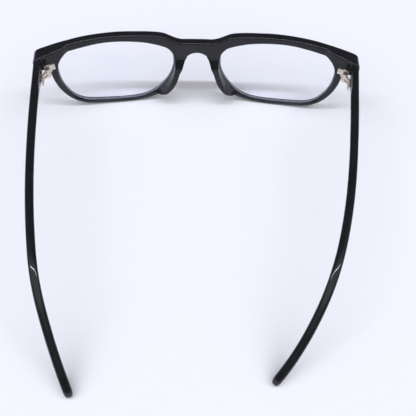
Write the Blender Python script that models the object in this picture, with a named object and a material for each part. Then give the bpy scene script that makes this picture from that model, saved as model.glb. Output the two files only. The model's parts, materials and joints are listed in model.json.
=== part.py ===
"""Acetate spectacle frame with clear lenses and riveted five-knuckle hinges.

Frame of reference: X is lateral (+X is the wearer's right), Y points forward, Z up.
The frame stands on the two rim bottoms and the two temple tips at Z = 0.
Lengths are millimetres until a mesh is written, angles are degrees.
"""
import math

import bmesh
import bpy
from mathutils import Matrix, Vector
from mathutils.geometry import delaunay_2d_cdt

MM = 0.001

# Lenses, boxed sizes measured to the bottom of the groove.
LENS_WIDTH = 52.3
LENS_HEIGHT = 37.4
LENS_SPACING = 19.6
LENS_EDGE = 1.5
LENS_DOME = 1.3
GROOVE_DEPTH = 0.6
GROOVE_AT = 1.55
GROOVE_HALF = 0.5

# Front.
RIM_TOP = 2.85
RIM_BOTTOM = 1.8
RIM_TEMPORAL = 2.8
RIM_NASAL = 3.6
FRONT_DEPTH = 3.6
RIM_DEPTH_LOW = 2.8
BRIDGE_DIP = 5.45
BRIDGE_HEIGHT = 5.6
ENDPIECE_REACH = 5.5
CORNER_DROP = 4.0
BLOCK_HEIGHT = 8.0
BLOCK_LIFT = 2.2
NOTCH_AT = 0.8
NOTCH_DROP = 0.3
BLOCK_DEPTH = 6.1
BLOCK_RAMP = (5.9, 3.4)
BLOCK_FACE_ANGLE = 21.3
BLOCK_REF_INSET = 0.6
FRONT_SAG = 8.5
FACE_FORM = 7.2
ENDPIECE_DRAFT = 1.9
PANTOSCOPIC = 7.74
EDGE_ROUND = 0.6
BACK_BEVEL = 0.25
OPENING_BEVEL = 0.2
WRAP_EASE = (2.0, 1.5)
OPENING_STEP = 2.4
EDGE_STEP = 3.0

# Nose pads.
PAD_REACH = 4.3
PAD_FLARE = 1.0
PAD_DRAFT = 0.12
PAD_TOP_DROP = 2.4
PAD_BOTTOM = 5.9
PAD_TIP = 0.36
PAD_TIP_FROM = 0.42

# Temples; the right one is set a little further in, as on an adjusted frame.
TEMPLE_LENGTH = 145.8
TEMPLE_THICKNESS = 2.95
TEMPLE_BUTT = 6.2
TEMPLE_OUTSET = 2.3
TEMPLE_LEAN = 0.19
LEAN_BELOW = 1.3
LEAN_RISE = (7.5, 16.0)
EAR_BEND = 97.0
BEND_SPREAD = 13.0
OPEN_IN = {"left": 1.2, "right": 4.9}
TURN_IN = {"left": 21.1, "right": 40.2}
TURN_POWER = {"left": 1.56, "right": 2.27}
TIP_ROUND = 3.4
REST_FLAT = 0.15

# Core wires.
WIRE_RADIUS = 0.6
WIRE_LENGTH = 112.0

# Hinges.
PIVOT_INBOARD = 2.4
PIVOT_BEHIND = 2.6
BARREL_RADIUS = 1.0
KNUCKLE_HEIGHT = 0.9
HINGE_RISE = 2.0
FRONT_PLATE = (4.6, 3.9, 0.6)
FRONT_PLATE_RISE = -0.3
FRONT_PLATE_SHIFT = 0.4
FRONT_FLANGE = 2.8
FRONT_STEM = 1.8
KNUCKLE_ROOT = 0.45
TEMPLE_PLATE = (4.3, 3.0, 0.7)
TEMPLE_PLATE_START = 1.7
TEMPLE_RIVETS = (2.3, 3.6)
SCREW_RADIUS = 0.45
SCREW_HEAD_RADIUS = 0.85
SCREW_HEAD_HEIGHT = 0.45
RIVET_RADIUS = 0.35
RIVET_HEAD_RADIUS = 0.55
RIVET_HEAD_HEIGHT = 0.22
FRONT_RIVET_DEPTH = 2.6
TEMPLE_RIVET_DEPTH = 1.7

# Clearances, and how far a hole cutter reaches past the plate it goes through.
LENS_GAP = 0.1
BOND_GAP = 0.05
BUTT_GAP = 0.12
KNUCKLE_GAP = 0.06
RUNNING_GAP = 0.05
WIRE_GAP = 0.08
HOLE_REACH = (-1.0, 2.0)

OPENING_WIDTH = LENS_WIDTH - 2 * GROOVE_DEPTH
OPENING_HEIGHT = LENS_HEIGHT - 2 * GROOVE_DEPTH
OPENING_LEFT = LENS_SPACING / 2 + GROOVE_DEPTH
OPENING_RIGHT = OPENING_LEFT + OPENING_WIDTH
RIM_LEFT = OPENING_LEFT - RIM_NASAL
RIM_RIGHT = OPENING_RIGHT + RIM_TEMPORAL
RIM_WIDTH = RIM_RIGHT - RIM_LEFT
FRONT_HEIGHT = OPENING_HEIGHT + RIM_TOP + RIM_BOTTOM
FRONT_HALF = RIM_RIGHT + ENDPIECE_REACH
BRIDGE_TOP = FRONT_HEIGHT - BRIDGE_DIP
ARCH_TOP = BRIDGE_TOP - BRIDGE_HEIGHT
CORNER_TOP = FRONT_HEIGHT - CORNER_DROP
BLOCK_TOP = CORNER_TOP - 0.4
BLOCK_BOTTOM = BLOCK_TOP - BLOCK_HEIGHT
BLOCK_REF = RIM_RIGHT - BLOCK_REF_INSET
RAMP_START = OPENING_RIGHT - BLOCK_RAMP[0]
RAMP_END = OPENING_RIGHT - BLOCK_RAMP[1]
TILT = math.radians(PANTOSCOPIC)
WRAP = math.radians(FACE_FORM)
FACE_SLOPE = math.tan(math.radians(BLOCK_FACE_ANGLE))

# Lens shape as fractions of the opening box, anticlockwise from the top middle. Where the
# rim sets the lower edge of the front, the third value is its width beyond RIM_BOTTOM.
LENS_SHAPE = (
    (0.511, 0.999), (0.361, 0.982), (0.225, 0.948), (0.083, 0.876), (0.035, 0.815),
    (0.008, 0.740), (0.0, 0.640), (0.008, 0.510, 1.5), (0.043, 0.370, 1.6),
    (0.095, 0.245, 1.4), (0.172, 0.118, 0.85), (0.262, 0.043, 0.15), (0.350, 0.011, 0.0),
    (0.450, 0.0, 0.0), (0.560, 0.004, 0.0), (0.700, 0.022, 0.0), (0.800, 0.050, 0.0),
    (0.875, 0.116, 0.05), (0.917, 0.188, 0.2), (0.953, 0.283, 0.4), (0.980, 0.388, 0.55),
    (0.997, 0.510, 0.8), (1.0, 0.640, 1.3), (0.985, 0.760), (0.953, 0.860),
    (0.913, 0.915), (0.857, 0.937), (0.745, 0.968), (0.634, 0.992),
)
# Upper edge of the front as fractions of the rim box, from beside the bridge outwards.
UPPER_SHAPE = (
    (0.095, 0.923), (0.130, 0.950), (0.178, 0.967), (0.254, 0.980), (0.341, 0.989),
    (0.437, 0.998), (0.520, 1.0), (0.629, 0.995), (0.735, 0.983), (0.838, 0.961),
    (0.941, 0.934),
)
# Upper edge over the bridge: distances out from the middle and up from BRIDGE_TOP.
BRIDGE_SHAPE = ((0.0, 0.0), (3.6, 0.0), (6.8, 0.0), (9.4, 0.8))
# Side of the nose arch: distances in from RIM_LEFT and down from its crown.
ARCH_SHAPE = ((0.3, 8.0), (0.95, 5.4), (1.7, 3.2), (3.0, 1.5), (4.9, 0.35))
# Upper corner of the endpiece: distances in from its end and down from its top.
CORNER_SHAPE = ((3.0, 0.0), (1.6, 0.45), (0.7, 1.0), (0.15, 1.8), (0.0, 2.6))

# Length along a temple, height, thickness and edge radius.
TEMPLE_PROFILE = (
    (0.0, TEMPLE_BUTT, TEMPLE_THICKNESS, 0.9),
    (14.0, 5.9, TEMPLE_THICKNESS, 1.1),
    (46.0, 5.1, TEMPLE_THICKNESS, 1.3),
    (EAR_BEND, 4.6, TEMPLE_THICKNESS, 1.34),
    (EAR_BEND + 26, 6.0, 2.9, 1.4),
    (TEMPLE_LENGTH - 8, 6.5, 3.0, 1.45),
    (TEMPLE_LENGTH, 6.4, 3.0, 1.45),
)


def side_sign(side):
    """Which way along X a side lies."""
    return -1.0 if side == "left" else 1.0


def smoothstep(t):
    """Ease from 0 to 1 with level ends."""
    t = min(1.0, max(0.0, t))
    return t * t * (3 - 2 * t)


def lerp_table(table, s, column):
    """Eased interpolation in a table whose first column is the position."""
    for low, high in zip(table, table[1:]):
        if s <= high[0]:
            k = smoothstep((s - low[0]) / (high[0] - low[0]))
            return low[column] + (high[column] - low[column]) * k
    return table[-1][column]


def spline(points, closed, step):
    """Catmull-Rom curve through the points, sampled at least twice per span."""
    count = len(points)
    spans = count if closed else count - 1
    out = []
    for i in range(spans):
        p1 = Vector(points[i])
        p2 = Vector(points[(i + 1) % count])
        p0 = Vector(points[i - 1]) if closed or i else p1 * 2 - p2
        p3 = Vector(points[(i + 2) % count]) if closed or i + 2 < count else p2 * 2 - p1
        pieces = max(2, math.ceil((p2 - p1).length / step))
        for k in range(pieces):
            t = k / pieces
            a = p1 * 2 + (p2 - p0) * t
            b = (p0 * 2 - p1 * 5 + p2 * 4 - p3) * t * t
            c = (p1 * 3 - p0 - p2 * 3 + p3) * t ** 3
            out.append((a + b + c) / 2)
    if not closed:
        out.append(Vector(points[-1]))
    return out


def insert_at(loop, axis, value, low):
    """Put a vertex where the loop crosses a coordinate, beyond a lower bound on u."""
    for i, p in enumerate(loop):
        q = loop[(i + 1) % len(loop)]
        if min(p[0], q[0]) < low or (p[axis] - value) * (q[axis] - value) >= 0:
            continue
        other = 1 - axis
        if axis == 0 and min(p[1], q[1]) < FRONT_HEIGHT / 2:
            continue
        t = (value - p[axis]) / (q[axis] - p[axis])
        mark = Vector((0, 0))
        mark[axis] = value
        mark[other] = p[other] + (q[other] - p[other]) * t
        loop.insert(i + 1, mark)
        return mark
    raise ValueError("the outline does not cross the wanted line")


def offset_loop(loop, distance):
    """Mitred offset of a closed loop, to the left of its direction."""
    out = []
    for i, p in enumerate(loop):
        before = (p - loop[i - 1]).normalized()
        after = (loop[(i + 1) % len(loop)] - p).normalized()
        mean = (before + after).normalized()
        stretch = max(0.55, mean.dot(before))
        out.append(p + Vector((-mean[1], mean[0])) * (distance / stretch))
    return out


def opening_points():
    """Control points of the right-hand lens opening."""
    points = []
    for entry in LENS_SHAPE:
        across = OPENING_LEFT + entry[0] * OPENING_WIDTH
        points.append(Vector((across, RIM_BOTTOM + entry[1] * OPENING_HEIGHT)))
    return points


def opening_loop():
    """Right-hand lens opening, anticlockwise."""
    return spline(opening_points(), True, OPENING_STEP)


def rim_point(fraction):
    """Point of the rim box given by fractions of its width and height."""
    return (RIM_LEFT + fraction[0] * RIM_WIDTH, fraction[1] * FRONT_HEIGHT)


def upper_edge():
    """Upper edge from the bridge centre to the top of the endpiece."""
    points = [(out, BRIDGE_TOP + up) for out, up in BRIDGE_SHAPE]
    points += [rim_point(f) for f in UPPER_SHAPE]
    points += [(FRONT_HALF - inward, CORNER_TOP - down) for inward, down in CORNER_SHAPE]
    return spline(points, False, EDGE_STEP)


def lower_edge():
    """Lower edge from the underside of the endpiece to the crown of the nose arch."""
    inner = opening_points()
    points = []
    for i, entry in enumerate(LENS_SHAPE):
        if len(entry) == 3:
            along = (inner[(i + 1) % len(inner)] - inner[i - 1]).normalized()
            points.append(inner[i] + Vector((along[1], -along[0])) * (RIM_BOTTOM + entry[2]))
    points.reverse()
    points += [Vector((RIM_LEFT - inward, ARCH_TOP - down)) for inward, down in ARCH_SHAPE]
    points.append(Vector((0.0, ARCH_TOP)))
    return spline(points, False, EDGE_STEP)


def underside(u):
    """Point of the rising underside of the endpiece block."""
    return Vector((u, BLOCK_BOTTOM + BLOCK_LIFT * (u - RIM_RIGHT) / ENDPIECE_REACH))


def notch():
    """The two points between the underside of the endpiece block and the rim."""
    low = Vector((RIM_RIGHT + NOTCH_AT / 2, BLOCK_BOTTOM - NOTCH_DROP))
    return underside(RIM_RIGHT + NOTCH_AT), low


def outer_half():
    """Right half of the outer contour, clockwise from the bridge to the nose arch."""
    loop = upper_edge()
    loop += [
        underside(FRONT_HALF) + Vector((0.0, EDGE_ROUND)),
        underside(FRONT_HALF - EDGE_ROUND),
    ]
    return loop + list(notch()) + lower_edge()


def wrap_at(u):
    """Angle by which the depth of the front leans towards the nose."""
    reach = abs(u)
    before, after = WRAP_EASE
    if reach <= RIM_RIGHT - before:
        angle = WRAP * min(1.0, reach / OPENING_LEFT)
    else:
        k = smoothstep((reach - RIM_RIGHT + before) / (ENDPIECE_REACH + after))
        angle = WRAP + (math.radians(ENDPIECE_DRAFT) - WRAP) * k
    return math.copysign(angle, u)


def block_depth(u):
    """Depth of the endpiece block behind the front face, its back being one plane."""
    bend_ref = FRONT_SAG * (BLOCK_REF / FRONT_HALF) ** 2 * math.cos(TILT)
    bend_here = FRONT_SAG * (u / FRONT_HALF) ** 2 * math.cos(TILT)
    x_ref = BLOCK_REF - BLOCK_DEPTH * math.sin(WRAP)
    total = BLOCK_DEPTH * math.cos(WRAP) + bend_ref
    reach = total + FACE_SLOPE * (u - x_ref) - bend_here
    wrap = wrap_at(u)
    return reach / (math.cos(wrap) + FACE_SLOPE * math.sin(wrap))


def front_depth(u, v):
    """Depth of the back face of the front at a point of its outline."""
    u = abs(u)
    rise = smoothstep(v / (0.6 * FRONT_HEIGHT))
    rim = RIM_DEPTH_LOW + (FRONT_DEPTH - RIM_DEPTH_LOW) * rise
    if u <= RAMP_START or v < BLOCK_BOTTOM - 0.02:
        return rim
    if u < RAMP_END:
        k = (u - RAMP_START) / (RAMP_END - RAMP_START)
        return rim + (block_depth(RAMP_END) - rim) * k
    return block_depth(u)


def bend(u, v, w):
    """Carry a point of the flat layout into the curved and tilted front."""
    wrap = wrap_at(u)
    x = u - w * math.sin(wrap)
    depth = w * math.cos(wrap)
    sag = FRONT_SAG * (u / FRONT_HALF) ** 2
    y = v * math.sin(TILT) - sag - depth * math.cos(TILT)
    z = v * math.cos(TILT) + depth * math.sin(TILT)
    return Vector((x, y, z))


def block_face(x, z):
    """Y of the back plane of the endpiece block."""
    x_ref = BLOCK_REF - BLOCK_DEPTH * math.sin(WRAP)
    bend_ref = FRONT_SAG * (BLOCK_REF / FRONT_HALF) ** 2 * math.cos(TILT)
    total = BLOCK_DEPTH * math.cos(WRAP) + bend_ref + FACE_SLOPE * (x - x_ref)
    return (z * math.sin(TILT) - total) / math.cos(TILT)


def inside(point, loop):
    """Even-odd test of a point against a closed loop."""
    odd = False
    for i, a in enumerate(loop):
        b = loop[i - 1]
        if (a[1] > point[1]) != (b[1] > point[1]):
            cross = (b[0] - a[0]) * (point[1] - a[1]) / (b[1] - a[1]) + a[0]
            odd ^= point[0] < cross
    return odd


def mirrored(loop):
    """Mirror a loop in u and keep its sense of travel."""
    return [Vector((-p[0], p[1])) for p in reversed(loop)]


class Shell:
    """Vertices and faces of one closed body, gathered in millimetres."""

    def __init__(self):
        self.points = []
        self.faces = []

    def add(self, points):
        """Append points and return their indices."""
        start = len(self.points)
        self.points += [Vector(p) for p in points]
        return list(range(start, len(self.points)))

    def bridge(self, first, second):
        """Join two rings of equal length by quads."""
        for i in range(len(first)):
            j = (i + 1) % len(first)
            self.faces.append((first[i], first[j], second[j], second[i]))

    def cap(self, ring):
        """Close a ring with one face."""
        self.faces.append(tuple(ring))

    def loft(self, rings):
        """Skin a list of rings and close both ends."""
        indices = [self.add(ring) for ring in rings]
        for first, second in zip(indices, indices[1:]):
            self.bridge(first, second)
        self.cap(indices[0])
        self.cap(indices[-1])
        return self


COLOURS = {
    "acetate": (0.012, 0.012, 0.014, 1.0, 0.0, 0.12),
    "hinge_metal": (0.72, 0.66, 0.58, 1.0, 1.0, 0.25),
    "screw_metal": (0.45, 0.44, 0.42, 1.0, 1.0, 0.35),
    "clear_lens": (0.9, 0.95, 0.97, 0.25, 0.0, 0.02),
    "core_metal": (0.6, 0.6, 0.58, 1.0, 1.0, 0.3),
}


def material(name):
    """Principled material for one finish."""
    found = bpy.data.materials.get(name)
    if found:
        return found
    values = COLOURS[name]
    made = bpy.data.materials.new(name)
    made.use_nodes = True
    shader = made.node_tree.nodes["Principled BSDF"]
    shader.inputs["Base Color"].default_value = (*values[:3], 1.0)
    shader.inputs["Alpha"].default_value = values[3]
    shader.inputs["Metallic"].default_value = values[4]
    shader.inputs["Roughness"].default_value = values[5]
    return made


def make(name, shell, finish, pivot=(0, 0, 0)):
    """Turn a shell into an object whose origin is the given point."""
    pivot = Vector(pivot)
    mesh = bpy.data.meshes.new(name)
    work = bmesh.new()
    verts = [work.verts.new((p - pivot) * MM) for p in shell.points]
    for face in shell.faces:
        work.faces.new([verts[i] for i in face])
    bmesh.ops.recalc_face_normals(work, faces=work.faces)
    work.to_mesh(mesh)
    work.free()
    mesh.materials.append(material(finish))
    made = bpy.data.objects.new(name, mesh)
    made.location = pivot * MM
    bpy.context.scene.collection.objects.link(made)
    return made


def carve(target, tool, operation="DIFFERENCE"):
    """Apply one exact Boolean to the target and remove the tool."""
    step = target.modifiers.new("cut", "BOOLEAN")
    step.operation = operation
    step.solver = "EXACT"
    step.object = tool
    bpy.context.view_layer.update()
    graph = bpy.context.evaluated_depsgraph_get()
    result = bpy.data.meshes.new_from_object(target.evaluated_get(graph))
    old = target.data
    target.modifiers.clear()
    target.data = result
    result.name = target.name
    bpy.data.meshes.remove(old)
    spare = tool.data
    bpy.data.objects.remove(tool)
    bpy.data.meshes.remove(spare)


def rest_cut(target, height):
    """Trim everything below a level and close the cut with flat faces."""
    work = bmesh.new()
    work.from_mesh(target.data)
    level = Vector((0, 0, height * MM)) - target.location
    geometry = work.verts[:] + work.edges[:] + work.faces[:]
    cut = bmesh.ops.bisect_plane(
        work, geom=geometry, plane_co=(0, 0, level.z), plane_no=(0, 0, 1),
        clear_inner=True, dist=1e-7,
    )
    edges = [item for item in cut["geom_cut"] if isinstance(item, bmesh.types.BMEdge)]
    bmesh.ops.triangle_fill(work, edges=edges, use_beauty=True, use_dissolve=True)
    bmesh.ops.recalc_face_normals(work, faces=work.faces)
    work.to_mesh(target.data)
    work.free()


def basis(origin, x_axis, y_axis, z_axis):
    """Matrix that carries local coordinates to the world."""
    turn = Matrix((x_axis, y_axis, z_axis)).transposed().to_4x4()
    return Matrix.Translation(origin) @ turn


def prism(outline, low, high, place=None):
    """Upright prism over a plan outline, optionally carried by a matrix."""
    place = place or Matrix.Identity(4)
    rings = []
    for level in (low, high):
        rings.append([place @ Vector((p[0], p[1], level)) for p in outline])
    return Shell().loft(rings)


def circle(radius, count, centre=(0, 0), turn=0.0):
    """Regular polygon of points on a circle."""
    out = []
    for i in range(count):
        angle = 2 * math.pi * i / count + turn
        out.append((centre[0] + radius * math.cos(angle), centre[1] + radius * math.sin(angle)))
    return out


def hull(points):
    """Convex outline round a set of plan points, anticlockwise."""
    ordered = sorted({(round(p[0], 6), round(p[1], 6)) for p in points})
    out = []
    for sweep in (ordered, ordered[::-1]):
        base = len(out)
        for p in sweep:
            while len(out) >= base + 2:
                a, b = out[-2], out[-1]
                if (b[0] - a[0]) * (p[1] - a[1]) - (b[1] - a[1]) * (p[0] - a[0]) > 1e-9:
                    break
                out.pop()
            out.append(p)
        out.pop()
    return out


def turned(profile, place, count=16):
    """Body of revolution from (radius, height) pairs, round the local Z axis."""
    rings = []
    for radius, height in profile:
        rings.append([place @ Vector((p[0], p[1], height)) for p in circle(radius, count)])
    return Shell().loft(rings)


def build_front():
    """The one-piece acetate front with lens grooves and endpiece blocks."""
    opening = opening_loop()
    low = insert_at(opening, 1, BLOCK_BOTTOM - 0.06, RAMP_START)
    high = insert_at(opening, 1, BLOCK_BOTTOM + 0.06, RAMP_START)
    top_a = insert_at(opening, 0, RAMP_START, 0)
    top_b = insert_at(opening, 0, RAMP_END, 0)
    half = outer_half()
    out_a = insert_at(half, 0, RAMP_START, 0)
    out_b = insert_at(half, 0, RAMP_END, 0)
    notch_high, notch_low = notch()
    marks = [(notch_low, low), (notch_high, high), (out_a, top_a), (out_b, top_b)]
    outer = list(reversed(half)) + [Vector((-p[0], p[1])) for p in half[1:-1]]
    openings = (opening, mirrored(opening))

    shell = Shell()
    outer_rows = (
        (0.0, 0.0, EDGE_ROUND),
        (0.0, 0.3 * EDGE_ROUND, 0.3 * EDGE_ROUND),
        (0.0, EDGE_ROUND, 0.0),
        (1.0, -BACK_BEVEL, 0.0),
        (1.0, 0.0, BACK_BEVEL),
    )
    opening_rows = (
        (0.0, 0.0, OPENING_BEVEL),
        (0.0, OPENING_BEVEL, 0.0),
        (0.0, GROOVE_AT - GROOVE_HALF, 0.0),
        (0.0, GROOVE_AT, GROOVE_DEPTH),
        (0.0, GROOVE_AT + GROOVE_HALF, 0.0),
        (1.0, -BACK_BEVEL, 0.0),
        (1.0, 0.0, BACK_BEVEL),
    )
    ends = []
    for loop, rows, sign in (
        (outer, outer_rows, 1.0), (openings[0], opening_rows, -1.0), (openings[1], opening_rows, -1.0),
    ):
        rings = []
        flats = []
        for share, extra, inset in rows:
            moved = offset_loop(loop, sign * inset)
            flats.append(moved)
            ring = []
            for base, p in zip(loop, moved):
                depth = share * front_depth(base[0], base[1]) + extra
                ring.append(bend(p[0], p[1], depth))
            rings.append(shell.add(ring))
        for first, second in zip(rings, rings[1:]):
            shell.bridge(first, second)
        ends.append((loop, rings, flats))
    for row in (0, -1):
        flat = [p for _, _, flats in ends for p in flats[row]]
        index = [i for _, rings, _ in ends for i in rings[row]]
        base = [p for loop, _, _ in ends for p in loop]
        edges = []
        start = 0
        for loop, _, _ in ends:
            count = len(loop)
            edges += [(start + i, start + (i + 1) % count) for i in range(count)]
            start += count
        for a, b in marks:
            for sign in (1, -1):
                i = nearest(base, (sign * a[0], a[1]))
                j = nearest(base, (sign * b[0], b[1]))
                edges.append((i, j))
        made = delaunay_2d_cdt(flat, edges, [], 0, 1e-6)
        solid = [flats[row] for _, _, flats in ends]
        for face in made[2]:
            centre = sum((made[0][i] for i in face), Vector((0, 0))) / len(face)
            if not inside(centre, solid[0]) or inside(centre, solid[1]) or inside(centre, solid[2]):
                continue
            shell.faces.append(tuple(index[made[3][i][0]] for i in face))
    return make("front", shell, "acetate")


def nearest(points, target):
    """Index of the point closest to a target."""
    target = Vector(target)
    return min(range(len(points)), key=lambda i: (points[i] - target).length_squared)


def crossing(loop, v, low, high):
    """u at which a loop crosses a height, looked for between two values of u."""
    for p, q in zip(loop, loop[1:] + loop[:1]):
        if (p[1] - v) * (q[1] - v) <= 0 and p[1] != q[1]:
            u = p[0] + (q[0] - p[0]) * (v - p[1]) / (q[1] - p[1])
            if low <= u <= high:
                return u
    raise ValueError("the outline is not crossed at this height")


def build_pad(side):
    """Bonded nose pad: a ridge on the back of the nasal rim."""
    opening = opening_loop()
    lower = lower_edge()
    middle = OPENING_LEFT + OPENING_WIDTH / 2
    top = ARCH_TOP - PAD_TOP_DROP
    bottom = PAD_BOTTOM
    profile = (
        (0.0, 0.015), (0.05, 0.08), (0.11, 0.2), (0.18, 0.34), (0.27, 0.5), (0.38, 0.65), (0.5, 0.78),
        (0.62, 0.88), (0.74, 0.96), (0.84, 1.0), (0.91, 0.94), (0.96, 0.72), (0.985, 0.44), (1.0, 0.15),
    )
    rings = []
    for t, height in profile:
        v = top + (bottom - top) * t
        nose = crossing(lower, v, 0, middle) + BOND_GAP
        lens = crossing(opening, v, 0, middle) - 1.5 * BOND_GAP
        base = front_depth(nose, v) + BOND_GAP
        rise = PAD_REACH * height
        flare = PAD_FLARE * height
        slim = PAD_TIP * smoothstep((t - PAD_TIP_FROM) / (1 - PAD_TIP_FROM)) * (lens - nose)
        draft = (PAD_DRAFT + slim) * height
        back = 0.45 * min(1.0, height + 0.2)
        section = (
            (nose, 0.0), (nose + 0.4 * flare, 0.5 * rise), (nose + 0.8 * flare, rise - back),
            (nose + flare + 0.2 * back, rise - 0.25 * back), (nose + flare + back, rise),
            (lens - draft - back, rise), (lens - draft - 0.2 * back, rise - 0.25 * back),
            (lens - 0.85 * draft, rise - back), (lens - 0.4 * draft, 0.5 * rise), (lens, 0.0),
        )
        rings.append([bend(side_sign(side) * u, v, base + w) for u, w in section])
    return make("nose_pad_" + side, Shell().loft(rings), "acetate")


def build_lens(side):
    """Clear lens with a bevelled edge that sits in the groove."""
    opening = opening_loop()
    centre = Vector((OPENING_LEFT + OPENING_WIDTH / 2, RIM_BOTTOM + OPENING_HEIGHT / 2))
    half = LENS_EDGE / 2
    tip = GROOVE_DEPTH - LENS_GAP
    edge = (
        (-half, -2.5 * LENS_GAP), (-GROOVE_HALF, -LENS_GAP), (0.0, tip),
        (GROOVE_HALF, -LENS_GAP), (half, -2.5 * LENS_GAP),
    )
    shell = Shell()

    def dome(scale):
        """Forward bulge of the lens at a share of its radius."""
        return LENS_DOME * (1 - scale * scale)

    rings = []
    inner = offset_loop(opening, 2.5 * LENS_GAP)
    for scale in (0.0, 0.25, 0.5, 0.75):
        rings.append(("front", scale))
    for w, grow in edge:
        rings.append((w, grow))
    for scale in (0.75, 0.5, 0.25, 0.0):
        rings.append(("back", scale))
    made = []
    for kind, value in rings:
        if isinstance(kind, str):
            w = GROOVE_AT + (half if kind == "back" else -half) - dome(value)
            flat = [centre + (p - centre) * value for p in inner]
            if value == 0.0:
                flat = flat[:1]
        else:
            w = GROOVE_AT + kind
            flat = offset_loop(opening, -value)
        made.append(shell.add([bend(side_sign(side) * p[0], p[1], w) for p in flat]))
    for first, second in zip(made, made[1:]):
        if len(first) == 1 or len(second) == 1:
            point, ring = (first[0], second) if len(first) == 1 else (second[0], first)
            for i in range(len(ring)):
                shell.faces.append((ring[i], ring[(i + 1) % len(ring)], point))
        else:
            shell.bridge(first, second)
    return make("lens_" + side, shell, "clear_lens")


def temple_start(side):
    """Middle of the butt end of a temple."""
    x = FRONT_HALF - TEMPLE_OUTSET
    middle = BLOCK_TOP - TEMPLE_BUTT / 2
    z = middle * math.cos(TILT) + BLOCK_DEPTH * math.sin(TILT)
    return Vector((side_sign(side) * x, block_face(x, z) - BUTT_GAP, z))


def temple_frames(side, drop):
    """Stations along a temple: length, centre, travel, inward and upward directions."""
    marks = [0.0, 2.0, 5.0, 9.0, 14.0, 21.0, 29.0, 37.0, 46.0, 57.0, 68.0, 78.0]
    first = EAR_BEND - BEND_SPREAD
    marks += [first + 2 * BEND_SPREAD * k / 10 for k in range(11)]
    last = EAR_BEND + BEND_SPREAD
    end = TEMPLE_LENGTH - TIP_ROUND
    marks += [last + (end - last) * k / 5 for k in range(1, 6)]
    marks += [end + TIP_ROUND * k for k in (0.3, 0.55, 0.75, 0.9, 0.98)]
    out = []
    here = temple_start(side)
    reached = 0.0
    for mark in marks:
        steps = max(1, math.ceil((mark - reached) / 0.5))
        size = (mark - reached) / steps
        for k in range(steps):
            travel = temple_axes(side, drop, reached + (k + 0.5) * size)[0]
            here = here + travel * size
        reached = mark
        travel, inward, up = temple_axes(side, drop, mark)
        out.append((mark, here.copy(), travel, inward, up))
    return out


def temple_axes(side, drop, s):
    """Travel, inward and upward directions of a temple at a length along it."""
    sign = side_sign(side)
    share = max(0.0, s) / TEMPLE_LENGTH
    heading = math.radians(OPEN_IN[side] + TURN_IN[side] * share ** TURN_POWER[side])
    first = EAR_BEND - BEND_SPREAD
    pitch = math.radians(drop) * smoothstep((s - first) / (2 * BEND_SPREAD))
    flat = Vector((-sign * math.sin(heading), -math.cos(heading), 0.0))
    inward = Vector((-sign * math.cos(heading), math.sin(heading), 0.0))
    rise = Vector((0.0, 0.0, 1.0))
    travel = flat * math.cos(pitch) - rise * math.sin(pitch)
    up = flat * math.sin(pitch) + rise * math.cos(pitch)
    return travel, inward, up


def rounded_section(width, height, radius):
    """Rounded rectangle, five points to a corner, anticlockwise from the right."""
    out = []
    for index, (sx, sy) in enumerate(((1, 1), (-1, 1), (-1, -1), (1, -1))):
        for k in range(5):
            angle = math.radians(90 * index + 22.5 * k)
            x = sx * (width / 2 - radius) + radius * math.cos(angle)
            y = sy * (height / 2 - radius) + radius * math.sin(angle)
            out.append((x, y))
    return out


def temple_ring(frame):
    """Outer ring of a temple at one station."""
    s, centre, _, inward, up = frame
    height = lerp_table(TEMPLE_PROFILE, s, 1)
    width = lerp_table(TEMPLE_PROFILE, s, 2)
    radius = lerp_table(TEMPLE_PROFILE, s, 3)
    end = TEMPLE_LENGTH - TIP_ROUND
    if s > end:
        shrink = math.sqrt(max(0.0, 1 - ((s - end) / TIP_ROUND) ** 2))
        height *= shrink
        width *= 0.35 + 0.65 * shrink
        radius = min(radius, 0.499 * height, 0.499 * width)
    lean = TEMPLE_LEAN * smoothstep((s - LEAN_RISE[0]) / (LEAN_RISE[1] - LEAN_RISE[0]))
    out = []
    for a, b in rounded_section(width, height, radius):
        share = smoothstep(0.5 + a / width)
        out.append(centre + inward * (a + share * lean * (b + LEAN_BELOW)) + up * b)
    return out


def temple_drop(side):
    """Angle of the ear bend that brings the tip just below the resting level."""
    low, high = 20.0, 50.0
    for _ in range(24):
        drop = (low + high) / 2
        tips = temple_frames(side, drop)[-10:]
        lowest = min(p.z for frame in tips for p in temple_ring(frame))
        if lowest > 0:
            low = drop
        else:
            high = drop
    return drop


def slide_to_butt(side, points, travel, gap):
    """Move points along the temple until they lie on the plane of its butt end."""
    out = []
    for p in points:
        for _ in range(3):
            miss = p.y - (block_face(abs(p.x), p.z) - gap)
            p = p - travel * (miss / travel.y)
        out.append(p)
    return out


def build_temple(side, drop, pivot):
    """Acetate temple with a blind bore for its core wire."""
    frames = temple_frames(side, drop)
    rings = [temple_ring(frame) for frame in frames]
    travel = frames[0][2]
    rings[0] = slide_to_butt(side, rings[0], travel, BUTT_GAP)
    bore = wire_rings(frames, WIRE_RADIUS + WIRE_GAP, WIRE_LENGTH)
    bore[0] = slide_to_butt(side, bore[0], travel, BUTT_GAP)
    shell = Shell()
    outer = [shell.add(ring) for ring in rings]
    inner = [shell.add(ring) for ring in bore]
    for group in (outer, inner):
        for first, second in zip(group, group[1:]):
            shell.bridge(first, second)
        shell.cap(group[-1])
    count = len(inner[0])
    for i in range(count):
        a, b, c = outer[0][2 * i], outer[0][2 * i + 1], outer[0][(2 * i + 2) % (2 * count)]
        first, second = inner[0][i], inner[0][(i + 1) % count]
        shell.faces += [(a, b, first), (b, second, first), (b, c, second)]
    return make("temple_" + side, shell, "acetate", pivot)


def wire_rings(frames, radius, length):
    """Rings of the core wire or its bore, following the temple."""
    out = []
    for s, centre, _, inward, up in frames:
        if s > length:
            break
        ring = circle(radius, 10, turn=math.radians(9))
        out.append([centre + inward * a + up * b for a, b in ring])
    return out


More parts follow.
